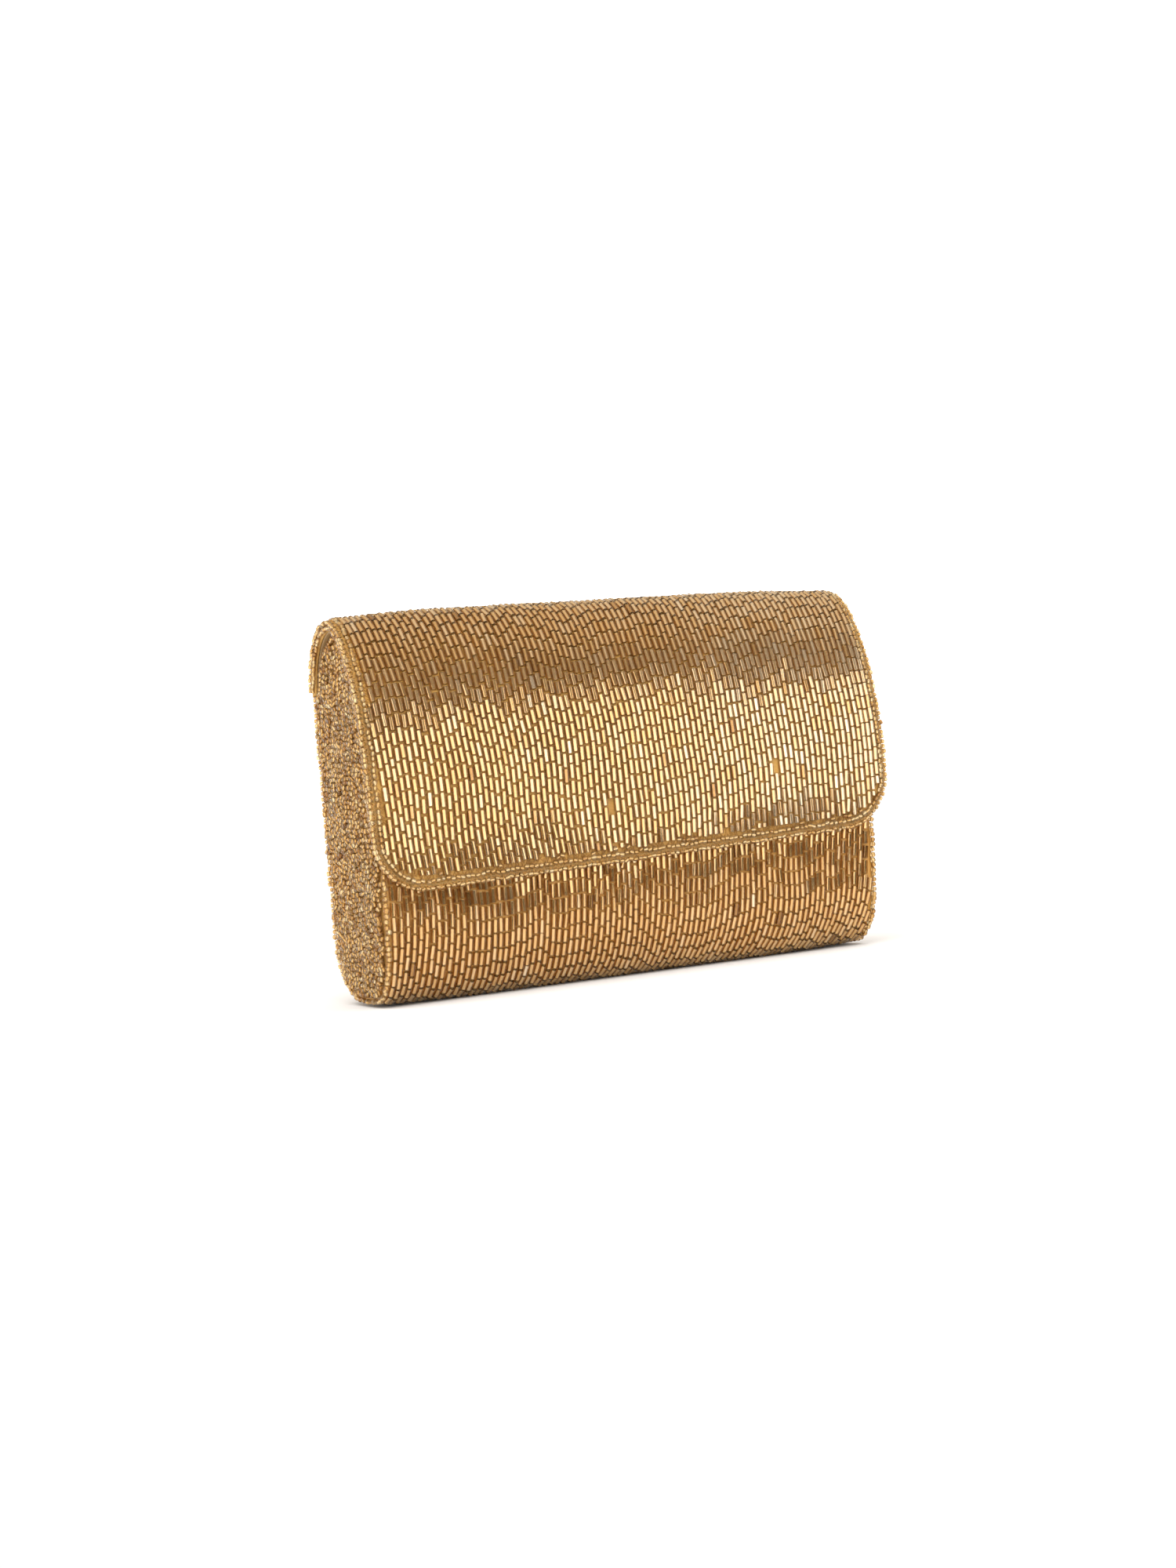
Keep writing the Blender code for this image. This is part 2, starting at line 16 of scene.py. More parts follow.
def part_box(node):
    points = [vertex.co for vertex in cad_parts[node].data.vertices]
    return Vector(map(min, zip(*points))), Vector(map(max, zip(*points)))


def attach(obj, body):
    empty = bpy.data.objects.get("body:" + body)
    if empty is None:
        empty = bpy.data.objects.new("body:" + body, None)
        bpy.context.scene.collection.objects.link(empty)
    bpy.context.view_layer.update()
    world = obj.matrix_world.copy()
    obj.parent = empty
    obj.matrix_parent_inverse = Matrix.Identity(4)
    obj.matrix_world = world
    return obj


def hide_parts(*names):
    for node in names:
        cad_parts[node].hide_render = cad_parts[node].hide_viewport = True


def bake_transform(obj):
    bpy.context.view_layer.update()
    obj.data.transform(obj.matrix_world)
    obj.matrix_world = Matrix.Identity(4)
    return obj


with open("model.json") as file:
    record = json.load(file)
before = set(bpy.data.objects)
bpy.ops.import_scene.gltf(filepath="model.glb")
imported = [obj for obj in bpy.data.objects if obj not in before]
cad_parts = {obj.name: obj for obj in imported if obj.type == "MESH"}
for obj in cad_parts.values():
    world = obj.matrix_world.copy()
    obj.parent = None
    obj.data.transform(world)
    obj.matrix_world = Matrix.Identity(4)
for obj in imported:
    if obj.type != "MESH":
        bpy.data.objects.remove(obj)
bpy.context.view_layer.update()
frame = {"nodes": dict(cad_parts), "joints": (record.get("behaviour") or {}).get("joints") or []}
MM = 0.001

# Sizes from the CAD parts
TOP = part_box("flap_beadwork")[1].z
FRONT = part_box("flap_beadwork")[0].y
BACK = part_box("back_beadwork")[1].y
FLAP_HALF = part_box("flap_cover")[1].x
FLAP_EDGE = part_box("flap_cover")[0].z
PANEL_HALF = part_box("front_beadwork")[1].x
LINING_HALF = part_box("lining_back")[1].x
BEADS_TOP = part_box("front_beadwork")[1].z
GUSSET_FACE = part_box("gusset_beadwork_right")[1].x
GUSSET_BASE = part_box("gusset_beadwork_right")[0].x
BODY_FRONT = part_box("front_beadwork")[0].y
HINGE = Vector(frame["joints"][0]["pos_m"])
SNAP_Z = (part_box("snap_magnet")[0].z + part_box("snap_magnet")[1].z) / 2

# Outer profile
BACK_SPRING = 0.100
FRONT_SPRING = 0.065
BULGE_LOW = 0.044
TAPER = 0.0006
BASE_FLAT = (-0.005, 0.007)
BASE_FRONT_RISE = 0.024
BASE_BACK_RISE = 0.020
FLAP_TO_BODY = 0.0056
HINGE_ZONE = 0.012
CORNER = 0.017
FIELD_INSET = 0.0026
HALF_HEIGHT = TOP / 2

# Sag and skew
TOP_SAG = 1.2 * MM
LOW_RISE = 0.8 * MM
END_BULGE = 1.0 * MM
CORNER_PULL = 0.6 * MM
FRONT_SWELL = 0.55 * MM
HEM_TUCK = 0.38 * MM

# Beads
BUGLE_RADIUS = 1.02 * MM
BUGLE_LENGTH = 4.35 * MM
BUGLE_GAP = 0.57 * MM
COLUMN_PITCH = 2.19 * MM
SPARE_COLUMNS = 4
SEED_RADIUS = 0.92 * MM
SEED_LENGTH = 1.50 * MM
SEED_PITCH = 1.75 * MM
STRING_RADIUS = 0.86 * MM
EDGE_SPARE = 0.55 * BUGLE_RADIUS

# How beads are laid
COLUMN_SWAY = 0.45 * MM
FLAP_LEAN = 4.4 * MM
BODY_LEAN = 3.8 * MM
UNDER_LEAN = 2.8 * MM
FLAP_SWAY_SEED = 91
FLAP_BEAD_DEPTH = 0.95 * MM
STRING_DEPTH = 1.0 * MM
FLAP_SPLIT = 0.066
GUSSET_PITCH = 1.95 * MM
GUSSET_STEP = 1.60 * MM
GUSSET_BEND = 1.5 * MM
GUSSET_BEAD_DEPTH = 0.30 * MM
MISSING_SHARE = 0.001

# How seeds look where they lie: their tone, its spread, and how unruly they are
SEAM_LOOK = (0.62, 0.14, 0.4)
# The gusset's seeds get a lower tone than the seams' and strings': painted shade for the gusset's dimmer
# side.
GUSSET_SHADED_LOOK = (0.51, 0.18, 0.95)
RIM_LOOK = (0.51, 0.18, 0.2)
STRING_LOOK = (0.66, 0.13, 0.25)
FILLING_LOOK = (0.60, 0.16, 0.5)

# Sewing
STITCH_LENGTH = 2.3 * MM
STITCH_GAP = 0.9 * MM
STITCH_RADIUS = 0.21 * MM
POCKET_HALF = 0.055


def smooth(t):
    t = np.clip(t, 0.0, 1.0)
    return t * t * (3 - 2 * t)


def waves(u, v, length, seed, count=7):
    """A smooth wandering value of about -1 to 1 over a surface, with bumps of about a length."""
    rng = np.random.default_rng(seed)
    total = 0.0
    for _ in range(count):
        turn, phase = rng.uniform(0, math.tau, 2)
        own = length * rng.uniform(0.7, 1.6)
        total = total + np.sin((u * math.cos(turn) + v * math.sin(turn)) * math.tau / own + phase)
    return total / math.sqrt(count)


# Profiles


def arc(centre, semi, start, stop, count):
    a = np.radians(np.linspace(start, stop, count))
    return list(zip(centre[0] + semi[0] * np.cos(a), centre[1] + semi[1] * np.sin(a)))


class Profile:
    """A line in the YZ plane with a length, outward normals, and straight run-outs past both ends."""

    def __init__(self, points):
        points = np.array(points)
        steps = np.linalg.norm(np.diff(points, axis=0), axis=1)
        points = points[np.r_[True, steps > 1e-7]]
        steps = np.linalg.norm(np.diff(points, axis=0), axis=1)
        self.points = points
        self.along = np.r_[0, np.cumsum(steps)]
        self.length = float(self.along[-1])
        self.tangents = np.gradient(points, self.along, axis=0)

    def at(self, along, depth=0.0):
        """Places (y, z) at distances along the line, sunk below it by a depth."""
        along = np.asarray(along, float)
        inside = np.clip(along, 0, self.length)
        place = [np.interp(inside, self.along, self.points[:, k]) for k in (0, 1)]
        tangent = [np.interp(inside, self.along, self.tangents[:, k]) for k in (0, 1)]
        size = np.hypot(*tangent)
        ty, tz = tangent[0] / size, tangent[1] / size
        y = place[0] + ty * (along - inside) - tz * depth
        z = place[1] + tz * (along - inside) + ty * depth
        return y, z

    def at_height(self, height, first):
        z = self.points[:, 1]
        hits = np.nonzero((z[:-1] - height) * (z[1:] - height) <= 0)[0]
        k = hits[0] if first else hits[-1]
        share = (height - z[k]) / (z[k + 1] - z[k]) if z[k + 1] != z[k] else 0
        return float(self.along[k] + share * (self.along[k + 1] - self.along[k]))


def run_length(profile, start, stop, depth):
    """The length of a layer at a depth under a profile, between two distances along it."""
    return float(np.hypot(*np.diff(profile.at(np.linspace(start, stop, 400), depth))).sum())


def back_angle(height):
    return math.degrees(math.asin((height - BACK_SPRING) / (TOP - BACK_SPRING)))


def flap_profile():
    back = arc((0, BACK_SPRING), (BACK, TOP - BACK_SPRING), back_angle(HINGE.z), 90, 40)
    front = arc((0, FRONT_SPRING), (-FRONT, TOP - FRONT_SPRING), 90, 180, 60)
    return Profile([*back, *front, (FRONT, FLAP_EDGE + 0.005), (FRONT, FLAP_EDGE)])


def body_profile(flap):
    mouth = flap.at_height(HINGE.z, first=False)
    spring = flap.at_height(FRONT_SPRING, first=False)
    upper = np.stack(flap.at(np.linspace(mouth, spring, 30), FLAP_TO_BODY), axis=1)
    face = FRONT + FLAP_TO_BODY
    low = face + TAPER
    front = arc((BASE_FLAT[0], BASE_FRONT_RISE), (BASE_FLAT[0] - low, BASE_FRONT_RISE), 180, 270, 30)
    back = arc((BASE_FLAT[1], BASE_BACK_RISE), (BACK - BASE_FLAT[1], BASE_BACK_RISE), 270, 360, 30)
    top = arc((0, BACK_SPRING), (BACK, TOP - BACK_SPRING), 0, back_angle(HINGE.z - 0.0002), 5)
    return Profile([*upper, (face, BULGE_LOW), *front, *back, *top])


FLAP = flap_profile()
BODY = body_profile(FLAP)
BODY_BEADS = BODY.at_height(BEADS_TOP, first=True)
BODY_FRONT_END = BODY.at_height(BASE_FRONT_RISE, first=True)
BODY_BACK_START = BODY.at_height(BASE_BACK_RISE, first=False)


# The bag's own sag and skew, small and the same for every layer


def settle(p):
    """Moves points of the ideal bag to where the soft bag has them."""
    x, y, z = p[..., 0], p[..., 1], p[..., 2]
    ends = smooth((np.abs(x) - 0.058) / 0.040)
    high = smooth((z - 0.070) / 0.055)
    low = smooth((0.030 - z) / 0.030)
    left = smooth((-x - 0.040) / 0.058)
    front = smooth((0.112 - z) / 0.055) * smooth((0.012 - y) / 0.030) * smooth((z - 0.020) / 0.020)
    dz = ends * (LOW_RISE * low - TOP_SAG * high)
    dy = -END_BULGE * left * front
    dx = -np.sign(x) * CORNER_PULL * smooth((np.abs(x) - 0.085) / 0.010) * (high + low)
    return np.stack([x + dx, y + dy, z + dz], axis=-1)


def flap_point(x, along, depth):
    """A place on the flap. Its free edge hangs lower at the left end, and it narrows to the back."""
    x, along, depth = np.broadcast_arrays(*(np.asarray(a, float) for a in (x, along, depth)))
    share = smooth(along / FLAP.length)
    skewed = along * (1 - 0.022 * share * x / FLAP_HALF)
    width = 0.976 + 0.024 * smooth(along / 0.045)
    lumps = 0.06 * MM * waves(x, along, 0.026, 301) * smooth(along / 0.02)
    tuck = HEM_TUCK * smooth((along - FLAP.length + 0.015) / 0.014) * smooth((x - 0.005) / 0.03)
    y, z = FLAP.at(skewed, depth + lumps + tuck)
    return settle(np.stack([x * width, y, z], axis=-1))


def body_point(x, along, depth):
    """A place on the body. The front swells a little below the flap, higher up at the right end."""
    x, along, depth = np.broadcast_arrays(*(np.asarray(a, float) for a in (x, along, depth)))
    lumps = 0.05 * MM * waves(x, along, 0.026, 302) * smooth((BODY.length - along) / 0.02)
    crest = BODY_BEADS + 0.0225 - 0.0150 * np.clip((x / PANEL_HALF + 1) / 2, 0, 1)
    swell = FRONT_SWELL * np.exp(-(((along - crest) / 0.010) ** 2))
    y, z = BODY.at(along, depth + lumps - swell * smooth((along - BODY_BEADS + 0.014) / 0.012))
    return settle(np.stack([x, y, z], axis=-1))


def gusset_point(side):
    """The map of one gusset: across is Y, along is Z, and depth is measured inwards from its bead face."""

    def place(y, z, depth):
        y, z, depth = np.broadcast_arrays(*(np.asarray(a, float) for a in (y, z, depth)))
        swell = 0.0007 * smooth(1 - (y / 0.022) ** 2) * smooth(1 - ((z - 0.060) / 0.062) ** 2)
        x = side * (GUSSET_FACE + swell - depth)
        return settle(np.stack([x, y, z], axis=-1))

    return place


# Meshes


def quad_object(name, points, quads, materials, flat_edges=None, values=None):
    """An object of quads, shaded smooth, with named per-vertex values."""
    points, quads = np.asarray(points, np.float32), np.asarray(quads, np.int32)
    mesh = bpy.data.meshes.new(name)
    mesh.vertices.add(len(points))
    mesh.vertices.foreach_set("co", points.ravel())
    mesh.loops.add(quads.size)
    mesh.loops.foreach_set("vertex_index", quads.ravel())
    mesh.polygons.add(len(quads))
    mesh.polygons.foreach_set("loop_start", np.arange(0, quads.size, 4, dtype=np.int32))
    mesh.update(calc_edges=True)
    mesh.validate()
    mesh.polygons.foreach_set("use_smooth", np.ones(len(quads), bool))
    for word, value in (values or {}).items():
        kept = mesh.attributes.new(word, "FLOAT", "POINT")
        kept.data.foreach_set("value", np.asarray(value, np.float32))
    if flat_edges is not None:
        ends = np.zeros(len(mesh.edges) * 2, np.int32)
        mesh.edges.foreach_get("vertices", ends)
        sharp = mesh.attributes.new("sharp_edge", "BOOLEAN", "EDGE")
        sharp.data.foreach_set("value", flat_edges(ends.reshape(-1, 2)))
    for material in materials if isinstance(materials, list) else [materials]:
        mesh.materials.append(material)
    made = bpy.data.objects.new(name, mesh)
    bpy.context.scene.collection.objects.link(made)
    return made


class Template:
    """A turned bead shape: rings of (end, back from that end, share of the radius), closed through its hole.

    The hole's wall takes the second material, and the thread that fills the hole's mouths takes the third.
    """

    def __init__(self, sides, rings, sharp_rings=()):
        self.sides, self.count = sides, sides * len(rings)
        ring = np.repeat(np.arange(len(rings)), sides)
        self.angle = np.tile(np.arange(sides) * math.tau / sides, len(rings))
        specs = np.array(rings, float)
        self.end, self.back, self.share = (specs[ring, k] for k in range(3))
        quads = []
        for k in range(len(rings)):
            after = (k + 1) % len(rings)
            for j in range(sides):
                turn = (j + 1) % sides
                quads.append((k * sides + j, k * sides + turn, after * sides + turn, after * sides + j))
        last = (len(rings) - 1) * sides
        near = [(k + 2, k + 1, k, 0) for k in range(1, sides - 2, 2)]
        far = [(last, last + k, last + k + 1, last + k + 2) for k in range(1, sides - 2, 2)]
        self.quads = np.array(quads + near + far)
        wall = np.repeat(np.arange(len(rings)) == len(rings) - 1, sides).astype(np.int32)
        self.finish = np.r_[wall, np.full(len(near) + len(far), 2, np.int32)]
        self.sharp = np.isin(np.arange(len(rings)), list(sharp_rings))

    def flat_edges(self, ends):
        ring = (ends % self.count) // self.sides
        return (ring[:, 0] == ring[:, 1]) & self.sharp[ring[:, 0]]


def both_ends(half):
    """Rings (back from the end, share of the radius) from the hole outwards, at one end, then the other."""
    return [(-0.5, *ring) for ring in half] + [(0.5, *ring) for ring in half[::-1]]


BUGLE = Template(10, both_ends([(0.04 * MM, 0.55), (0.0, 0.84), (0.10 * MM, 1.0)]), range(6))
SEED = Template(8, both_ends([(0.06 * MM, 0.39), (0.0, 0.60), (0.20 * MM, 0.88), (0.52 * MM, 1.0)]), (0, 7))
STITCHING = Template(6, both_ends([(0.0, 0.25), (0.12 * MM, 0.9)]))


def unit(v):
    return v / np.linalg.norm(v, axis=-1, keepdims=True)


class Beads:
    """Beads gathered before they are made into one object."""

    def __init__(self):
        self.parts = []

    def add(self, centres, axes, normals, lengths, radii, tones):
        count = len(centres)
        spread = [np.broadcast_to(np.asarray(a, float), (count,)) for a in (lengths, radii, tones)]
        self.parts.append((centres, axes, normals, *spread))
        return self

    def build(self, name, template, material, seed):
        centres, axes, normals, lengths, radii, tones = (np.concatenate(v) for v in zip(*self.parts))
        rng = np.random.default_rng(seed)
        axes = unit(axes)
        sides = unit(np.cross(axes, normals))
        normals = np.cross(sides, axes)
        axial = template.end * lengths[:, None] - np.sign(template.end) * template.back
        turn = template.angle + rng.uniform(0, math.tau, len(centres))[:, None]
        out = template.share * radii[:, None]
        points = (
            centres[:, None]
            + axes[:, None] * axial[..., None]
            + normals[:, None] * (out * np.cos(turn))[..., None]
            + sides[:, None] * (out * np.sin(turn))[..., None]
        )
        quads = template.quads[None] + (np.arange(len(centres)) * template.count)[:, None, None]
        obj = quad_object(
            name,
            points.reshape(-1, 3),
            quads.reshape(-1, 4),
            material,
            template.flat_edges,
            {"tone": np.repeat(tones, template.count)},
        )
        obj.data.polygons.foreach_set("material_index", np.tile(template.finish, len(centres)))
        return obj


def surface_frame(place, u, v, depth):
    """Places on a map with the directions along it and out of it."""
    reach = 0.4 * MM
    here = place(u, v, depth)
    along = place(u, v + reach, depth) - place(u, v - reach, depth)
    across = place(u + reach, v, depth) - place(u - reach, v, depth)
    out = unit(np.cross(across, along))
    outward = place(u, v, depth - reach) - here
    out = np.where((out * outward).sum(-1, keepdims=True) < 0, -out, out)
    return here, unit(along), unit(across), out


def route_frame(place, spots, direction, depth):
    """Places on a map with the direction of a route there, and the direction out of the map."""
    here, along, across, out = surface_frame(place, spots[:, 0], spots[:, 1], depth)
    return here, across * direction[:, :1] + along * direction[:, 1:], out


def tilted(along, across, out, swing, lift):
    """Bead axes turned a little in the surface by swing and out of it by lift, in radians."""
    axis = along + across * np.tan(swing)[:, None] + out * np.tan(lift)[:, None]
    return unit(axis)


def shell(name, place, us, vs, outer, inner, material):
    """A closed thin sheet between two depths over a grid, with its edges closed."""
    u, v = np.meshgrid(us, vs, indexing="ij")
    outer = outer(u, v) if callable(outer) else outer
    inner = inner(u, v) if callable(inner) else inner
    top, under = place(u, v, outer).reshape(-1, 3), place(u, v, inner).reshape(-1, 3)
    n, m = len(us), len(vs)
    index = np.arange(n * m).reshape(n, m)
    corners = [index[:-1, :-1], index[1:, :-1], index[1:, 1:], index[:-1, 1:]]
    front = np.stack([corner.ravel() for corner in corners], axis=1)
    back = front[:, ::-1] + n * m
    rim = np.concatenate([index[:-1, 0], index[-1, :-1], index[:0:-1, -1], index[0, :0:-1]])
    following = np.roll(rim, -1)
    side = np.stack([following, rim, rim + n * m, following + n * m], axis=1)
    return quad_object(name, np.concatenate([top, under]), np.concatenate([front, back, side]), material)


# Materials


def new_material(name):
    made = bpy.data.materials.new(name)
    made.use_nodes = True
    return made, made.node_tree.nodes, made.node_tree.links, made.node_tree.nodes["Principled BSDF"]


def ramp(nodes, stops):
    made = nodes.new("ShaderNodeValToRGB")
    elements = made.color_ramp.elements
    while len(elements) < len(stops):
        elements.new(0.5)
    for element, (position, colour) in zip(elements, stops):
        element.position = position
        element.color = (*colour, 1)
    return made


def colour_by(nodes, links, shader, value, stops):
    """Colours a shader by a value, from 0 to 1 over the stops."""
    colours = ramp(nodes, stops)
    links.new(value, colours.inputs["Fac"])
    links.new(colours.outputs["Color"], shader.inputs["Base Color"])


def maths(nodes, links, operation, *terms):
    """The result of a Math node. A term is a number or another node's output."""
    made = nodes.new("ShaderNodeMath")
    made.operation = operation
    for term, socket in zip(terms, made.inputs):
        if isinstance(term, float):
            socket.default_value = term
        else:
            links.new(term, socket)
    return made.outputs[0]


def bumped(nodes, links, shader, height, strength, distance):
    """Gives a shader fine relief from a height."""
    made = nodes.new("ShaderNodeBump")
    made.inputs["Strength"].default_value = strength
    made.inputs["Distance"].default_value = distance
    links.new(height, made.inputs["Height"])
    links.new(made.outputs["Normal"], shader.inputs["Normal"])


def noise(nodes, links, coords, scale, detail):
    made = nodes.new("ShaderNodeTexNoise")
    made.inputs["Scale"].default_value = scale
    made.inputs["Detail"].default_value = detail
    made.inputs["Roughness"].default_value = 0.55
    links.new(coords.outputs["Object"], made.inputs["Vector"])
    return made


def by_tone(nodes, links, shader, stops, streaks):
    """Colours a bead's shader by the bead's tone, with fine streaks."""
    tone = nodes.new("ShaderNodeAttribute")
    tone.attribute_name = "tone"
    coords = nodes.new("ShaderNodeTexCoord")
    streak = noise(nodes, links, coords, 900.0, 2.0)
    mixed = maths(nodes, links, "MULTIPLY_ADD", streak.outputs["Fac"], streaks, tone.outputs["Fac"])
    colour_by(nodes, links, shader, mixed, stops)


def bead_lining(name, stops, roughness):
    """The metal lining in a bead's hole, seen through its glass."""
    made, nodes, links, shader = new_material(name)
    by_tone(nodes, links, shader, stops, 0.16)
    shader.inputs["Metallic"].default_value = 1.0
    shader.inputs["Roughness"].default_value = roughness
    return made


def bead_glass(name, stops, clear):
    """A bead's own glass, tinted amber. The share that isn't clear is milky."""
    made, nodes, links, shader = new_material(name)
    by_tone(nodes, links, shader, stops, 0.10)
    shader.inputs["Transmission Weight"].default_value = clear
    shader.inputs["Roughness"].default_value = 0.02
    shader.inputs["IOR"].default_value = 1.40
    return made


def cloth(name, dark, light, roughness, weave, bump, sheen=0.3):
    """Woven cloth: crossed threads with uneven dye."""
    made, nodes, links, shader = new_material(name)
    coords = nodes.new("ShaderNodeTexCoord")
    dye = noise(nodes, links, coords, 60.0, 4.0)
    threads = []
    for axis in ("X", "Z"):
        wave = nodes.new("ShaderNodeTexWave")
        wave.bands_direction = axis
        wave.inputs["Scale"].default_value = weave
        wave.inputs["Distortion"].default_value = 0.6
        wave.inputs["Detail"].default_value = 1.0
        links.new(coords.outputs["Object"], wave.inputs["Vector"])
        threads.append(wave.outputs["Fac"])
    crossed = maths(nodes, links, "MULTIPLY", *threads)
    shade = maths(nodes, links, "MULTIPLY_ADD", crossed, 0.30, dye.outputs["Fac"])
    colour_by(nodes, links, shader, shade, [(0.30, dark), (0.80, light)])
    bumped(nodes, links, shader, crossed, bump, 0.1 * MM)
    shader.inputs["Roughness"].default_value = roughness
    shader.inputs["Sheen Weight"].default_value = sheen
    shader.inputs["Sheen Roughness"].default_value = 0.4
    shader.inputs["Sheen Tint"].default_value = (*light, 1)
    return made


def metal(name, dark, light, roughness):
    """Plated or bare metal with faint wear."""
    made, nodes, links, shader = new_material(name)
    coords = nodes.new("ShaderNodeTexCoord")
    wear = noise(nodes, links, coords, 700.0, 5.0)
    colour_by(nodes, links, shader, wear.outputs["Fac"], [(0.35, dark), (0.62, light)])
    bumped(nodes, links, shader, wear.outputs["Fac"], 0.12, 0.05 * MM)
    shader.inputs["Metallic"].default_value = 1.0
    shader.inputs["Roughness"].default_value = roughness
    return made


LINING_STOPS = [
    (0.00, (0.30, 0.25, 0.18)),
    (0.25, (0.60, 0.52, 0.40)),
    (0.45, (0.95, 0.90, 0.80)),
    (0.75, (0.99, 0.95, 0.88)),
    (1.00, (0.99, 0.98, 0.96)),
]
GOLD_STOPS = [
    (0.00, (0.26, 0.19, 0.09)),
    (0.25, (0.56, 0.43, 0.24)),
    (0.45, (0.92, 0.80, 0.56)),
    (0.80, (0.97, 0.88, 0.68)),
    (1.00, (0.98, 0.94, 0.84)),
]
BUGLE_STOPS = [(0.10, (0.62, 0.34, 0.11)), (0.60, (0.82, 0.54, 0.24)), (0.98, (0.94, 0.76, 0.52))]
SEED_STOPS = [(0.10, (0.58, 0.29, 0.08)), (0.55, (0.82, 0.54, 0.22)), (0.98, (0.94, 0.76, 0.46))]
THREAD = cloth("gold_thread", (0.16, 0.08, 0.015), (0.30, 0.17, 0.04), 0.45, 1500.0, 0.5)
BUGLE_GLASS = [
    bead_glass("bugle_glass", BUGLE_STOPS, 0.94),
    bead_lining("bugle_lining", LINING_STOPS, 0.10),
    THREAD,
]
SEED_GLASS = [
    bead_glass("seed_glass", SEED_STOPS, 0.84),
    bead_lining("seed_lining", GOLD_STOPS, 0.24),
    THREAD,
]
BEAD_CLOTH = cloth("beading_cloth", (0.48, 0.23, 0.045), (0.78, 0.42, 0.11), 0.50, 900.0, 0.6)
# The gusset's cloth is darker than the front's beading cloth. This is partly painted shade, to deepen the gap
# beside the flap's edge.
GUSSET_SHADED_CLOTH = cloth("gusset_shaded_cloth", (0.24, 0.12, 0.025), (0.42, 0.22, 0.055), 0.50, 900.0, 0.6)
COVER_CLOTH = cloth("cover_cloth", (0.38, 0.19, 0.036), (0.64, 0.36, 0.085), 0.50, 900.0, 0.6)
SATIN = cloth("lining_satin", (0.36, 0.225, 0.10), (0.48, 0.315, 0.15), 0.32, 1400.0, 0.3, 0.5)
COUCHING = cloth("couching_thread", (0.26, 0.115, 0.02), (0.54, 0.28, 0.065), 0.42, 2500.0, 0.5)
STITCH = cloth("stitch_thread", (0.30, 0.18, 0.07), (0.48, 0.30, 0.13), 0.45, 2500.0, 0.5)
TAPE = cloth("binding_tape", (0.30, 0.17, 0.07), (0.46, 0.28, 0.13), 0.60, 700.0, 0.8)
BOARD = cloth("stiff_board", (0.36, 0.32, 0.27), (0.50, 0.46, 0.39), 0.90, 300.0, 0.3, 0.0)
GILT = metal("gilt_metal", (0.74, 0.52, 0.24), (0.90, 0.70, 0.38), 0.24)
STEEL = metal("steel", (0.50, 0.50, 0.52), (0.66, 0.66, 0.68), 0.32)
MAGNET = metal("magnet", (0.07, 0.07, 0.075), (0.13, 0.13, 0.14), 0.55)


# Bead fields


def bugle_columns(half, start, stop, seed):
    """Columns of bugles end to end, with a wandering stagger: (x, along, length, swing, lift, tone)."""
    rng = np.random.default_rng(seed)
    count = round(2 * half / COLUMN_PITCH)
    rows = []
    for column in range(-SPARE_COLUMNS, count + SPARE_COLUMNS):
        x = -half + (column + 0.5) * 2 * half / count
        brick = 0.5 * (column % 2) * float(smooth(0.5 + 0.9 * waves(x, 0.0, 0.030, seed + 1)))
        wander = 0.75 * float(waves(x, 0.0, 0.040, seed + 2))
        phase = (brick + wander + rng.normal(0, 0.05)) % 1.0
        along = start - phase * (BUGLE_LENGTH + BUGLE_GAP)
        end = float(stop(x)) if callable(stop) else stop
        while along < end:
            length = BUGLE_LENGTH * (1 + rng.normal(0, 0.035))
            if rng.random() < 0.012:
                length *= 0.55
            low, high = max(along, start), along + length
            if high > end + 0.25 * BUGLE_LENGTH * rng.random():
                high = end if end - low > 0.30 * BUGLE_LENGTH else low
            if high - low > 0.28 * BUGLE_LENGTH and rng.random() > MISSING_SHARE:
                odd = rng.random() < 0.02
                swing = rng.normal(0, math.radians(1.3)) + (rng.normal(0, math.radians(6)) if odd else 0)
                lift = rng.normal(0, math.radians(1.0))
                tone = 0.62 + rng.normal(0, 0.07)
                if rng.random() < 0.03:
                    tone += rng.choice((-0.38, -0.25, 0.30))
                rows.append((x, (low + high) / 2, high - low, swing, lift, tone))
            along += length + BUGLE_GAP * (1 + rng.normal(0, 0.25))
    return np.array(rows).T


def flap_drift(x, along):
    """How far aside a column has gone: the flap's columns lean to the right at its left end."""
    return FLAP_LEAN * (1 - x / FLAP_HALF) / 2 * np.clip((along - 0.040) / 0.083, 0, 1.2) ** 1.3


def body_drift(x, along):
    """The body's columns lean to the left at its right end, most where the front turns under."""
    down = along - BODY_BEADS
    lean = BODY_LEAN * smooth((down + 0.010) / 0.075) + UNDER_LEAN * smooth((down - 0.022) / 0.030)
    return -(1 + x / PANEL_HALF) / 2 * lean


def wander(x, along, seed, drift, edge):
    """How far aside a column has gone: a sway that dies out at the field's edge, and the drift."""
    sway = COLUMN_SWAY * waves(x, along, 0.045, seed) * smooth((edge - np.abs(x)) / 0.010)
    return sway + drift(x, along)


def lay_bugles(place, columns, depth, seed, drift, edge):
    """Sets bugles on a map. Their columns wander sideways together and stop at the field's edge."""
    x, along, length, swing, lift, tone = columns
    aside = wander(x, along, seed, drift, edge)
    turn = (wander(x, along + MM, seed, drift, edge) - aside) / MM
    rng = np.random.default_rng(seed)
    x = x + aside + rng.normal(0, 0.05 * MM, len(x))
    sunk = depth + rng.uniform(0, 0.10 * MM, len(x))
    kept = np.abs(x) < edge - EDGE_SPARE
    x, along, length, swing, lift, tone, turn, sunk = (
        a[kept] for a in (x, along, length, swing, lift, tone, turn, sunk)
    )
    here, down, across, out = surface_frame(place, x, along, sunk)
    axes = tilted(down, across, out, swing + turn, lift)
    return Beads().add(here, axes, out, length, BUGLE_RADIUS * (1 + rng.normal(0, 0.02, len(x))), tone)


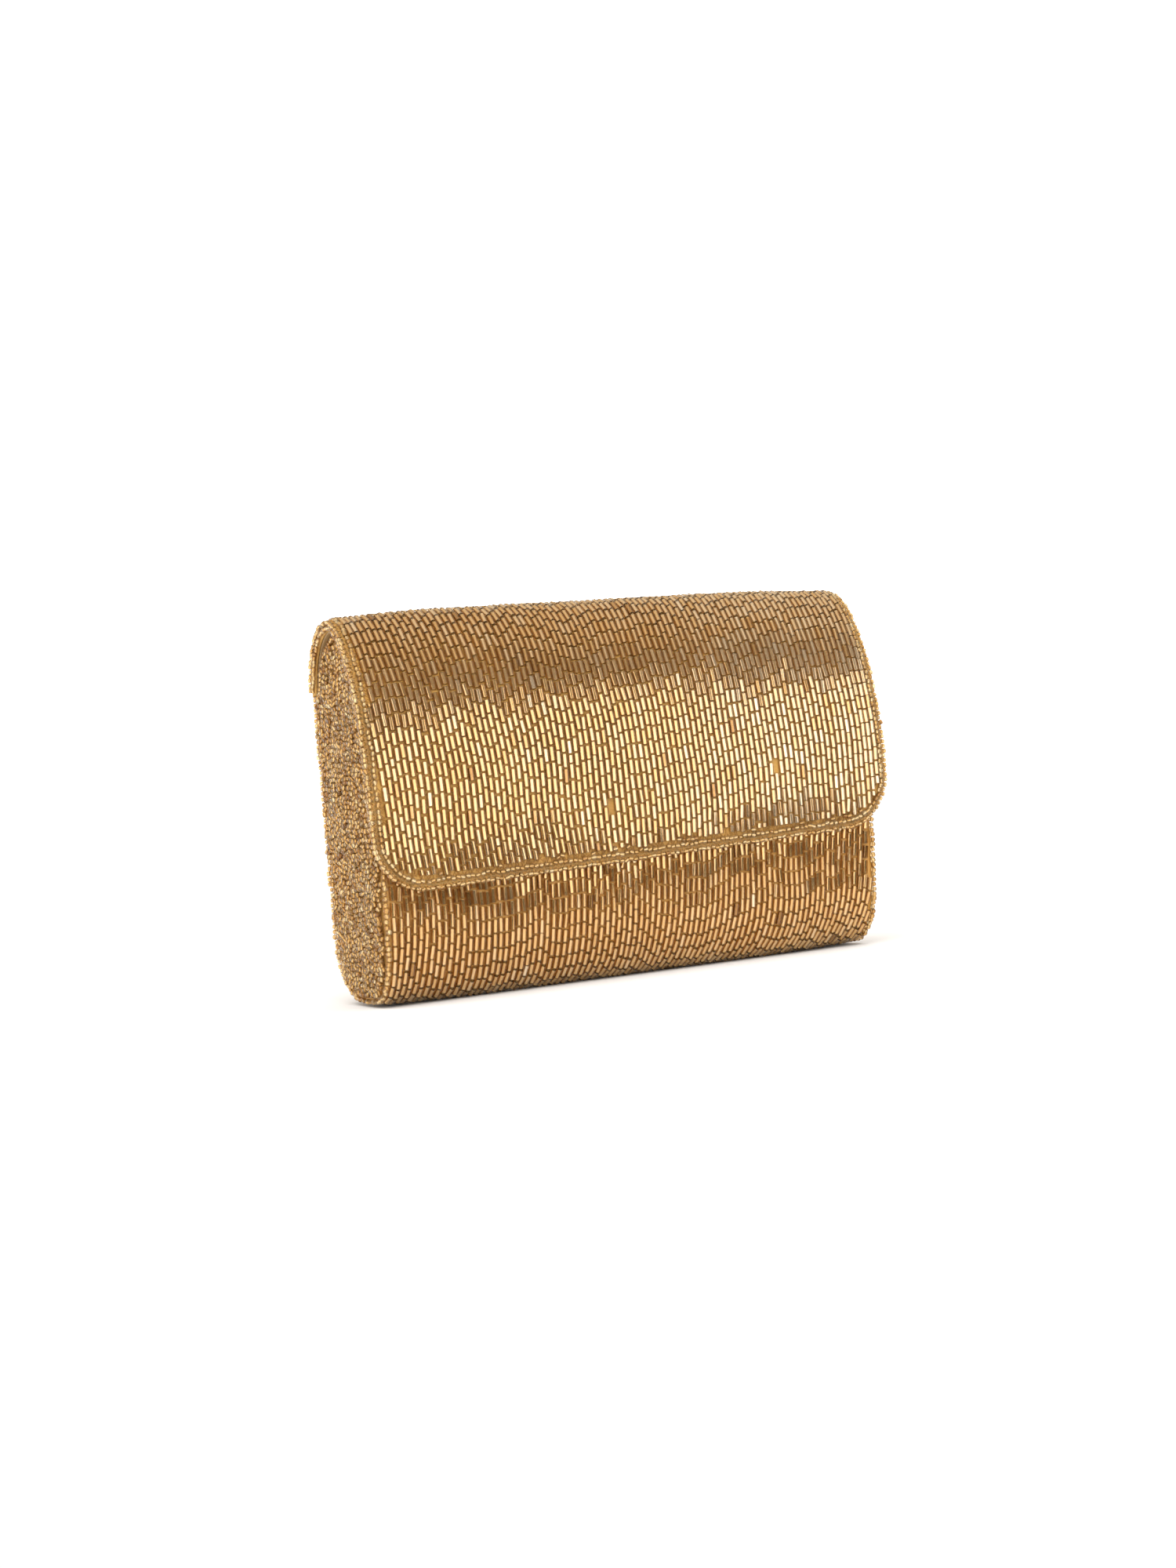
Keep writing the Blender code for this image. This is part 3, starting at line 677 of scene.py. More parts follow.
def flap_end(inset_side, inset_end):
    """How far down the flap a field inset from its outline reaches, at each x."""

    def stop(x):
        half = FLAP_HALF - inset_side
        radius = CORNER - inset_side
        over = np.clip(np.abs(x) - (half - radius), 0, radius)
        return FLAP.length - inset_end - radius + np.sqrt(np.maximum(radius**2 - over**2, 0))

    return stop


def line_down(x, start, stop, count):
    """A straight route along a map."""
    return np.stack([np.full(count, x), np.linspace(start, stop, count)], axis=1)


def line_across(half, along):
    """A straight route across a map."""
    return np.stack([np.linspace(-half, half, 200), np.full(200, along)], axis=1)


def string_route(inset, start):
    """The line of a bead string round the flap, as points (x, along) a small step apart."""
    half, end, radius = FLAP_HALF - inset, FLAP.length - inset, CORNER - inset
    turn = np.radians(np.linspace(0, 90, 40))
    side = line_down(half, start, end - radius, 200)
    bend = np.stack([half - radius + radius * np.cos(turn), end - radius + radius * np.sin(turn)], axis=1)[1:]
    right = np.concatenate([side, bend])
    left = right * (-1, 1)
    return np.concatenate([left, right[::-1]])


def along_route(route, pitch, seed):
    """Places every pitch along a route, with the direction there."""
    rng = np.random.default_rng(seed)
    steps = np.linalg.norm(np.diff(route, axis=0), axis=1)
    total = np.r_[0, np.cumsum(steps)]
    count = int(total[-1] / pitch)
    spots = (np.arange(count) + 0.5) * total[-1] / count + rng.normal(0, 0.05 * pitch, count)
    point, ahead, behind = (
        np.stack([np.interp(spots + shift, total, route[:, k]) for k in range(2)], axis=1)
        for shift in (0.0, pitch / 2, -pitch / 2)
    )
    return point, unit(ahead - behind)


def lay_seeds(place, spots, direction, depth, radius, seed, look):
    """Seed beads strung along a direction on a map."""
    tone, spread, unruly = look
    rng = np.random.default_rng(seed)
    count = len(spots)
    side = np.stack([-direction[:, 1], direction[:, 0]], axis=1)
    spots = spots + side * rng.normal(0, 0.06 * MM + unruly * 0.35 * MM, count)[:, None]
    sunk = depth + rng.normal(0, 0.05 * MM + unruly * 0.15 * MM, count)
    here, axes, out = route_frame(place, spots, direction, sunk)
    turned = np.cross(out, axes)
    swing = rng.normal(0, 0.08 + 0.5 * unruly, count)
    axes = axes + turned * swing[:, None] + out * rng.normal(0, 0.08 + 0.3 * unruly, count)[:, None]
    size = 1 + rng.normal(0, 0.06, count)
    tones = tone + rng.normal(0, spread, count) + np.where(rng.random(count) < 0.04, -0.3, 0)
    return Beads().add(here, axes, out, SEED_LENGTH * size, radius * size, tones)


def stitched(name, place, route, depth, seed, body):
    """A row of stitches sewn along a route on a map."""
    spots, direction = along_route(route, STITCH_LENGTH + STITCH_GAP, seed)
    count = len(spots)
    here, axes, out = route_frame(place, spots, direction, depth)
    rng = np.random.default_rng(seed)
    axes = axes + np.cross(out, axes) * rng.normal(0, 0.03, count)[:, None]
    lengths = STITCH_LENGTH * (1 + rng.normal(0, 0.04, count))
    rows = Beads().add(here, axes, out, lengths, STITCH_RADIUS, rng.random(count))
    made(rows.build(name, STITCHING, [STITCH] * 3, seed), body)


def inside(loop, y, z):
    """Which points lie inside a closed loop, by crossings."""
    hit = np.zeros(len(y), bool)
    for (y0, z0), (y1, z1) in zip(loop, np.roll(loop, -1, axis=0)):
        crosses = (z0 > z) != (z1 > z)
        with np.errstate(divide="ignore", invalid="ignore"):
            hit ^= crosses & (y < (y1 - y0) * (z - z0) / (z1 - z0) + y0)
    return hit


def gusset_outline(wall, top):
    """The gusset's outline (y, z): down the front, under the base, up the back and over the top."""
    walls = np.stack(BODY.at(np.linspace(0, BODY.length - 0.003, 160), wall), axis=1)
    first = FLAP.at_height(HINGE.z + 0.003, first=True)
    last = FLAP.at_height(HINGE.z + 0.0005, first=False)
    over = np.stack(FLAP.at(np.linspace(first, last, 60), top), axis=1)
    return np.concatenate([walls, over])


def gusset_seeds(seed):
    """Seeds in upright rows that wander over a gusset: spots (y, z) and directions."""
    rng = np.random.default_rng(seed)
    loop = gusset_outline(0.0030, 0.0078)
    spots = []
    for y0 in np.arange(-0.0245, 0.0245, GUSSET_PITCH):
        z = 0.001 + rng.uniform(0, 1.8) * MM
        while z < 0.122:
            spots.append((y0 + rng.normal(0, 0.12) * MM, z))
            z += GUSSET_STEP * (1 + rng.normal(0, 0.07))
    spots = np.array(spots)
    y, z = spots[:, 0], spots[:, 1]
    bend = GUSSET_BEND * waves(y, z, 0.030, seed + 3)
    slope = (GUSSET_BEND * waves(y, z + MM, 0.030, seed + 3) - bend) / MM
    y = y + bend
    keep = inside(loop, y, z)
    direction = unit(np.stack([slope, np.ones(len(y))], axis=1))
    return np.stack([y, z], axis=1)[keep], direction[keep]


def gusset_rim(seed):
    """The seeds strung over a gusset's top, under the flap."""
    over = np.linspace(-0.001, FLAP.at_height(HINGE.z, first=False), 200)
    return along_route(np.stack(FLAP.at(over, 0.0063), axis=1), SEED_PITCH, seed)


# The body


def made(obj, body, slot=None, stands_for=()):
    """Hangs a finished piece on a body, and hides the CAD nodes that it stands for. Its slot is not used."""
    if body:
        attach(obj, body)
    if stands_for:
        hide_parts(*stands_for)


def at_hinge(obj):
    """Bakes a hinge piece's placement into its mesh; the piece is not bent."""
    far = FLAP.at(HINGE_ZONE, 0.0)
    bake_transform(obj)


def grid(low, high, step):
    return np.linspace(low, high, max(2, int(round((high - low) / step)) + 1))


def body_fabric():
    xs = grid(-PANEL_HALF - 0.0006, PANEL_HALF + 0.0006, 1.5 * MM)
    ss = grid(BODY_BEADS - 0.001, BODY.length, 1.5 * MM)
    under = lambda u, v: 1.50 * MM + 0.06 * MM * waves(u, v, 0.004, 5)
    sheet = shell("beaded_fabric_body", body_point, xs, ss, under, 2.3 * MM, BEAD_CLOTH)
    made(sheet, "bag_body", "cover_fabric")


def body_bugles():
    middle = (BODY_BACK_START + BODY.length) / 2
    spans = {
        "front": (BODY_BEADS, BODY_FRONT_END, 21, ["front_beadwork"]),
        "base": (BODY_FRONT_END, BODY_BACK_START, 22, ["base_beadwork"]),
        "back_low": (BODY_BACK_START, middle, 23, ["back_beadwork"]),
        "back_high": (middle, BODY.length, 24, ()),
    }
    columns = bugle_columns(PANEL_HALF - 0.0002, BODY_BEADS, BODY.length + 0.0004, 20)
    # Painted shade: the body's bugles get a lower tone than the flap's, for the dimmer light that reaches
    # them from below.
    columns[5] -= 0.09
    for word, (start, stop, seed, nodes) in spans.items():
        mine = columns[:, (columns[1] >= start) & (columns[1] < stop)]
        beads = lay_bugles(body_point, mine, BUGLE_RADIUS, 30, body_drift, PANEL_HALF)
        obj = beads.build(f"bugles_{word}", BUGLE, BUGLE_GLASS, seed)
        made(obj, "bag_body", "bugle_glass", nodes)


def seam_strings():
    for side, word in ((-1, "left"), (1, "right")):
        route = line_down(side * 0.0924, 0, BODY.length, 600)
        spots, direction = along_route(route, SEED_PITCH, 40 + side)
        beads = lay_seeds(body_point, spots, direction, STRING_DEPTH, SEED_RADIUS, 41 + side, SEAM_LOOK)
        obj = beads.build(f"seam_seeds_{word}", SEED, SEED_GLASS, 43)
        made(obj, "bag_body", "seed_glass", [f"seam_beads_{word}"])


def gusset_pieces():
    for side, word in ((-1, "left"), (1, "right")):
        place = gusset_point(side)
        spots, direction = gusset_seeds(50 + side)
        low = spots[:, 1] < HALF_HEIGHT
        for part, chosen, nodes in (("low", low, [f"gusset_beadwork_{word}"]), ("high", ~low, ())):
            laid = place, spots[chosen], direction[chosen], GUSSET_BEAD_DEPTH, SEED_RADIUS
            beads = lay_seeds(*laid, 52 + side, GUSSET_SHADED_LOOK)
            if part == "high":
                laid = place, *gusset_rim(54 + side), GUSSET_BEAD_DEPTH, SEED_RADIUS
                beads.parts += lay_seeds(*laid, 57 + side, RIM_LOOK).parts
            obj = beads.build(f"gusset_seeds_{word}_{part}", SEED, SEED_GLASS, 54)
            made(obj, "bag_body", "seed_glass", nodes)
        depths = (1.15 * MM, 1.55 * MM)
        fabric = gusset_panel(f"gusset_fabric_{word}", side, 0.0020, 0.0050, depths, GUSSET_SHADED_CLOTH)
        made(fabric, "bag_body", "cover_fabric")
        board = gusset_panel(f"gusset_stiffener_{word}", side, 0.0043, 0.0078, (1.9 * MM, 3.2 * MM), BOARD)
        made(board, "bag_body", "stiff_board", [f"gusset_board_{word}"])
        lining = gusset_panel(f"gusset_lining_{word}", side, 0.0058, 0.0076, (3.6 * MM, 4.0 * MM), SATIN)
        made(lining, "bag_body", "satin_lining", [f"lining_gusset_{word}"])


def gusset_panel(name, side, wall, top, depths, material):
    """A closed panel inside the gusset's outline, as rows of points between its front and back walls."""
    place = gusset_point(side)
    walls = BODY.at(np.linspace(0, BODY.length - 0.003, 500), wall)
    lowest = walls[1].min()
    loop = gusset_outline(wall, top)
    highest = loop[:, 1].max()
    heights = lowest + (highest - lowest) * (1 - np.cos(np.linspace(0.02, math.pi - 0.02, 90))) / 2
    rows = []
    for height in heights:
        hits = []
        for (y0, z0), (y1, z1) in zip(loop, np.roll(loop, -1, axis=0)):
            if (z0 > height) != (z1 > height):
                hits.append(y0 + (y1 - y0) * (height - z0) / (z1 - z0))
        rows.append((min(hits), max(hits)))
    rows = np.array(rows)
    share = np.linspace(0, 1, 32)

    def mapped(u, v, depth):
        low = np.interp(v, heights, rows[:, 0])
        high = np.interp(v, heights, rows[:, 1])
        return place(low + (high - low) * u, v, depth)

    return shell(name, mapped, share, heights, depths[0], depths[1], material)


def body_layers():
    runs = {
        "front": (0.0003, BODY_FRONT_END - 0.0002),
        "base": (BODY_FRONT_END, BODY_BACK_START),
        "back": (BODY_BACK_START + 0.0002, BODY.length),
    }
    for word, (start, stop) in runs.items():
        us, vs = grid(-PANEL_HALF, PANEL_HALF, 2.5 * MM), grid(start, stop, 2.5 * MM)
        board = shell(f"{word}_stiffener", body_point, us, vs, 2.6 * MM, 3.9 * MM, BOARD)
        made(board, "bag_body", "stiff_board", [f"{word}_board"])
        depth = 4.3 * MM if word == "back" else 4.9 * MM
        us, vs = grid(-LINING_HALF, LINING_HALF, 1.5 * MM), grid(start, stop, 1.5 * MM)
        slack = lambda u, v, d=depth: d + 0.9 * MM + 0.25 * MM * waves(u, v, 0.018, 61)
        lining = shell(f"{word}_lining", body_point, us, vs, depth + 0.4 * MM, slack, SATIN)
        made(lining, "bag_body", "satin_lining", [f"lining_{word}"])
        flat = (2 * LINING_HALF, run_length(BODY, start, stop, depth + 0.65 * MM))


def front_facing():
    """The plain satin above the front's beads, puckered along its two rows of stitches."""

    def depth(u, v):
        sewn = smooth(1 - v / 0.009) + smooth((v - BODY_BEADS + 0.008) / 0.007)
        return 1.75 * MM + 0.07 * MM * waves(u, v, 0.016, 62) + 0.05 * MM * waves(u, v, 0.0045, 63) * sewn

    us = grid(-PANEL_HALF - 0.0005, PANEL_HALF + 0.0005, 1.5 * MM)
    vs = grid(0.0003, BODY_BEADS - 0.0003, 1.5 * MM)
    facing = shell("satin_facing", body_point, us, vs, depth, 2.3 * MM, SATIN)
    made(facing, "bag_body", "satin_lining", ["front_facing"])
    for word, along, seed in (("top", 0.0032, 64), ("low", BODY_BEADS - 0.0026, 65)):
        route = line_across(PANEL_HALF - 0.003, along)
        stitched(f"facing_stitches_{word}", body_point, route, 1.68 * MM, seed, "bag_body")


def mouth_edge():
    """A tape rolled over the front's top edge, as a half-round cap."""
    outside, inside_bag, rise = 1.4 * MM, 6.0 * MM, 1.6 * MM
    middle, half = (outside + inside_bag) / 2, (inside_bag - outside) / 2

    def mapped(u, t, extra):
        depth = middle - (half - extra) * np.cos(t)
        return body_point(u, 0.0004 - (rise - extra) * np.sin(t), depth)

    us = grid(-PANEL_HALF + 0.0028, PANEL_HALF - 0.0028, 1.5 * MM)
    obj = shell("mouth_tape", mapped, us, np.linspace(0, math.pi, 9), 0.0, 0.35 * MM, TAPE)
    made(obj, "bag_body", "binding_tape", ["mouth_binding"])


def gusset_tops():
    first = FLAP.at_height(HINGE.z + 0.0058, first=True)
    last = FLAP.at_height(HINGE.z + 0.0015, first=False)
    for side, word in ((-1, "left"), (1, "right")):

        def mapped(u, v, depth, side=side):
            y, z = FLAP.at(v, 0.0053 + depth)
            return settle(np.stack([side * u, y, z], axis=-1))

        us, vs = grid(0.0891, 0.0931, 0.8 * MM), grid(first, last, 1.5 * MM)
        crown = lambda u, v: 0.8 * MM * ((u - 0.0911) / 0.0021) ** 2
        obj = shell(f"gusset_tape_{word}", mapped, us, vs, crown, 1.3 * MM, TAPE)
        made(obj, "bag_body", "binding_tape", [f"gusset_binding_{word}"])


def pocket():
    low = BODY.at_height(0.026, first=False)
    high = BODY.at_height(0.082, first=False)
    us, vs = grid(-POCKET_HALF, POCKET_HALF, 1.5 * MM), grid(low, high, 1.5 * MM)
    slack = lambda u, v: 6.0 * MM + 0.35 * MM * (0.6 + waves(u, v, 0.022, 71)) * smooth((v - low) / 0.02)
    obj = shell("pocket_panel", body_point, us, vs, 5.55 * MM, slack, SATIN)
    made(obj, "bag_body", "satin_lining", ["slip_pocket"])
    sewn = POCKET_HALF - 1.5 * MM
    hem = line_across(sewn, high - 0.004)
    stitched("pocket_stitches_hem", body_point, hem, 6.35 * MM, 72, "bag_body")
    for side, word in ((-1, "left"), (1, "right")):
        route = line_down(side * sewn, low + 0.001, high, 60)
        stitched(f"pocket_stitches_{word}", body_point, route, 6.2 * MM, 73, "bag_body")


# The flap


def flap_outline_half(along, inset):
    """Half the flap's width at a distance along it, inside its outline by an inset."""
    half, end, radius = FLAP_HALF - inset, FLAP.length - inset, CORNER - inset
    over = np.clip(along - (end - radius), 0, radius)
    return half - radius + np.sqrt(np.maximum(radius**2 - over**2, 0))


def flap_shell(name, start, stop, inset, outer, inner, material, step=1.5 * MM):
    """A layer of the flap with rounded corners. A depth may be a function of (x, along, space to edge)."""
    end = FLAP.length - inset

    def mapped(share, along, depth):
        along = np.minimum(along, end - 1e-6)
        half = flap_outline_half(along, inset)
        return flap_point(share * half, along, depth)

    def level(depth):
        def at(share, along):
            half = flap_outline_half(np.minimum(along, end), inset)
            near = np.minimum(half * (1 - np.abs(share)), end - along)
            return depth(share * half, along, near)

        return at if callable(depth) else depth

    shares = np.linspace(-math.pi / 2, math.pi / 2, 141)
    shares = 0.45 * np.sin(shares) + 0.55 * shares / (math.pi / 2)
    shares = np.unique(np.r_[shares, -1 + np.linspace(0, 0.012, 7), 1 - np.linspace(0, 0.012, 7)])
    last = min(stop, end)
    alongs = grid(start, last, step)
    if stop >= end:
        corner = end - (CORNER - inset)
        bend = corner + (end - corner) * np.sin(np.linspace(0, math.pi / 2, 30))[1:]
        alongs = np.concatenate([grid(start, corner, step), bend])
    return shell(name, mapped, shares, alongs, level(outer), level(inner), material)


def round_over(near, reach):
    """How far a face drops at an edge that is rounded over a reach."""
    t = np.clip(1 - near / reach, 0, 1)
    return reach * (1 - np.sqrt(np.maximum(1 - t**2, 0)))


def flap_layers():
    whole = FLAP.length + 1
    rounding = 0.8 * MM

    def face(x, v, near):
        return 1.45 * MM + 0.06 * MM * waves(x, v, 0.005, 81) + round_over(near, rounding)

    def hem(x, v, near):
        turned_in = 1.9 * MM * smooth((1.3 * MM - near) / (0.3 * MM))
        return 2.4 * MM + turned_in - round_over(near, rounding)

    def sag(x, v, near):
        puckers = 0.06 * MM * waves(x, v, 0.0045, 83) * smooth(1 - near / 0.010)
        return 4.45 * MM + 0.13 * MM * waves(x, v, 0.022, 82) * smooth(near / 0.01) + puckers

    cover = flap_shell("flap_fabric", HINGE_ZONE, whole, 0.0002, face, hem, COVER_CLOTH)
    made(cover, "flap", "cover_fabric", ["flap_cover"])
    board = flap_shell("flap_stiffener", HINGE_ZONE, whole, 0.0018, 2.6 * MM, 3.7 * MM, BOARD)
    made(board, "flap", "stiff_board", ["flap_board"])
    lining = flap_shell("flap_satin", HINGE_ZONE, whole, 0.0014, 3.9 * MM, sag, SATIN)
    made(lining, "flap", "satin_lining", ["flap_lining"])
    stitched("flap_stitches", flap_point, string_route(0.0045, HINGE_ZONE + 0.001), 4.52 * MM, 84, "flap")
    zone = (-0.0008, HINGE_ZONE + 0.0001)
    hinge_cover = flap_shell("hinge_fabric", *zone, 0.0002, face, hem, COVER_CLOTH, 1.0 * MM)
    hinge_tape = flap_shell("hinge_webbing", *zone, 0.0060, 2.6 * MM, 3.6 * MM, TAPE, 1.0 * MM)
    hinge_lining = flap_shell("hinge_satin", *zone, 0.0014, 3.9 * MM, sag, SATIN, 1.0 * MM)
    bent = (hinge_cover, "cover_fabric"), (hinge_tape, "binding_tape"), (hinge_lining, "satin_lining")
    for piece, slot in bent:
        at_hinge(piece)
    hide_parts("hinge_tape")
    for cloth_piece, over_hinge, inset, depth in (
        (cover, hinge_cover, 0.0002, 1.9 * MM),
        (lining, hinge_lining, 0.0014, 4.2 * MM),
    ):
        flat = (2 * (FLAP_HALF - inset), run_length(FLAP, 0, FLAP.length - inset, depth))


def flap_columns():
    ends = flap_end(0.0030, 0.0038)
    reach = lambda x: ends(x + flap_drift(x, FLAP.length))
    columns = bugle_columns(FLAP_HALF - FIELD_INSET, 0.0, reach, 90)
    columns[5] += 0.12 * smooth((columns[0] + 0.01) / 0.07)
    return columns


def flap_bugles():
    edge = FLAP_HALF - FIELD_INSET
    columns = flap_columns()
    in_zone = columns[1] < HINGE_ZONE
    hinge = lay_bugles(flap_point, columns[:, in_zone], FLAP_BEAD_DEPTH, FLAP_SWAY_SEED, flap_drift, edge)
    obj = hinge.build("bugles_hinge", BUGLE, BUGLE_GLASS, 92)
    at_hinge(obj)
    lower = columns[1] >= FLAP_SPLIT
    for word, chosen in (("upper", ~in_zone & ~lower), ("lower", lower)):
        mine = columns[:, chosen]
        beads = lay_bugles(flap_point, mine, FLAP_BEAD_DEPTH, FLAP_SWAY_SEED, flap_drift, edge)
        obj = beads.build(f"bugles_flap_{word}", BUGLE, BUGLE_GLASS, 93)
        made(obj, "flap", "bugle_glass", ["flap_beadwork"] if word == "lower" else ())


def flap_strings():
    """Two strings round the flap, and a third that covers the side of its hem down both ends."""
    strings = (
        ("outer", -0.3 * MM, 1.8 * MM, 95),
        ("inner", 1.9 * MM, STRING_DEPTH, 96),
        ("side", 0.0, 3.45 * MM, 104),
    )
    for word, inset, depth, seed in strings:
        spots, direction = along_route(string_route(inset, 0.0), SEED_PITCH, seed)
        near = spots[:, 1] < HINGE_ZONE
        far = ~near & ((word != "side") | (spots[:, 1] < FLAP.length - CORNER))
        for part, chosen in (("hinge", near), ("flap", far)):
            laid = flap_point, spots[chosen], direction[chosen], depth, STRING_RADIUS
            beads = lay_seeds(*laid, seed + 5, STRING_LOOK)
            obj = beads.build(f"edge_seeds_{word}_{part}", SEED, SEED_GLASS, seed)
            if part == "hinge":
                at_hinge(obj)
            else:
                made(obj, "flap", "seed_glass", [f"flap_edge_beads_{word}"] if word != "side" else ())


def clear_of_bugles(spots, aside, beyond):
    """Which spots on the flap have no bugle nearer than a distance aside and a distance beyond its ends."""
    edge = FLAP_HALF - FIELD_INSET
    x, along, length = flap_columns()[:3]
    x = x + wander(x, along, FLAP_SWAY_SEED, flap_drift, edge)
    laid = np.abs(x) < edge - EDGE_SPARE
    sideways = np.abs(spots[:, :1] - x[laid])
    endways = np.abs(spots[:, 1:] - along[laid]) - length[laid] / 2
    return ~((sideways < aside) & (endways < beyond)).any(axis=1)


def filling_seeds():
    """Loose seeds that fill the wedges between the inner string and the columns that lean away from it."""
    spots, direction = along_route(string_route(0.0036, HINGE_ZONE + 0.002), 1.62 * MM, 98)
    free = clear_of_bugles(spots, 1.55 * MM, 0.75 * MM)
    beads = lay_seeds(flap_point, spots[free], direction[free], STRING_DEPTH, 0.80 * MM, 99, FILLING_LOOK)
    made(beads.build("filling_seeds", SEED, SEED_GLASS, 100), "flap", "seed_glass")


def couching():
    """Short threads that hold the strings down, sewn across the cloth beside each string."""
    rng = np.random.default_rng(101)
    gathered = Beads()
    for inset, depth in ((0.0008, 1.10 * MM), (0.0033, 1.34 * MM), (0.0044, 1.34 * MM)):
        spots, direction = along_route(string_route(inset, HINGE_ZONE + 0.001), 0.42 * MM, 102)
        spots = spots + rng.normal(0, 0.30 * MM, spots.shape)
        free = clear_of_bugles(spots, 1.25 * MM, 0.40 * MM)
        spots, direction = spots[free], direction[free]
        count = len(spots)
        here, axes, out = route_frame(flap_point, spots, direction, depth)
        axes = unit(axes)
        swing = rng.choice((-1, 1), count) * rng.uniform(0.5, 1.5, count)
        axes = axes * np.cos(swing)[:, None] + np.cross(out, axes) * np.sin(swing)[:, None]
        axes = axes + out * rng.normal(0, 0.10, count)[:, None]
        gathered.add(here, axes, out, rng.uniform(1.1, 2.0, count) * MM, 0.17 * MM, rng.random(count))
    made(gathered.build("couching_threads", STITCHING, [COUCHING] * 3, 103), "flap", "binding_tape")


def edge_cord():
    """The sewn thread between the two strings at the flap's edge."""
    route = string_route(0.0008, HINGE_ZONE)
    spots, direction = along_route(route, 0.55 * MM, 97)
    here, axes, out = route_frame(flap_point, spots, direction, 1.35 * MM)
    sides = unit(np.cross(unit(axes), out))
    turn = np.arange(8) * math.tau / 8
    twist = np.arange(len(here)) * 0.9
    bump = 1 + 0.16 * np.cos(2 * (turn[None] - twist[:, None]))
    radius = 0.42 * MM * bump
    points = here[:, None] + out[:, None] * (np.cos(turn) * radius)[..., None]
    points = points + sides[:, None] * (np.sin(turn) * radius)[..., None]
    count = len(here)
    index = np.arange(count * 8).reshape(count, 8)
    a, b = index[:-1], np.roll(index[:-1], -1, axis=1)
    c, d = np.roll(index[1:], -1, axis=1), index[1:]
    quads = np.stack([a, b, c, d], axis=-1).reshape(-1, 4)
    caps = []
    for ring in (index[0], index[-1][::-1]):
        caps += [ring[[0, 1, 2, 3]], ring[[0, 3, 4, 7]], ring[[4, 5, 6, 7]]]
    obj = quad_object("edge_thread", points.reshape(-1, 3), np.concatenate([quads, np.array(caps)]), THREAD)
    made(obj, "flap", "binding_tape")


def snap_finish():
    finishes = {
        GILT: ("snap_socket_cap", "snap_stud"),
        STEEL: ("snap_socket_plate", "snap_socket_washer", "snap_stud_washer"),
        MAGNET: ("snap_magnet",),
    }
    for finish, names in finishes.items():
        for name in names:
            node = frame["nodes"][name]
            node.data.materials.clear()
            node.data.materials.append(finish)


# The studio


def card(name, edges, sweep, tone):
    """A curved reflector in front of the bag, seen only in its glass: edges are (distance, height)."""
    made_card, *_, shader = new_material(name)
    shader.inputs["Base Color"].default_value = (0, 0, 0, 1)
    shader.inputs["Specular IOR Level"].default_value = 0.0
    shader.inputs["Emission Color"].default_value = (*tone, 1)
    shader.inputs["Emission Strength"].default_value = 1.0
    turn = np.radians(np.linspace(*sweep, 41))
    points = [(r * math.sin(t), -r * math.cos(t), z) for t in turn for r, z in edges]
    quads = [(2 * k, 2 * k + 1, 2 * k + 3, 2 * k + 2) for k in range(40)]
    obj = quad_object(name, np.array(points), np.array(quads), made_card)
    for part in ("camera", "diffuse", "shadow", "volume_scatter"):
        setattr(obj, f"visible_{part}", False)


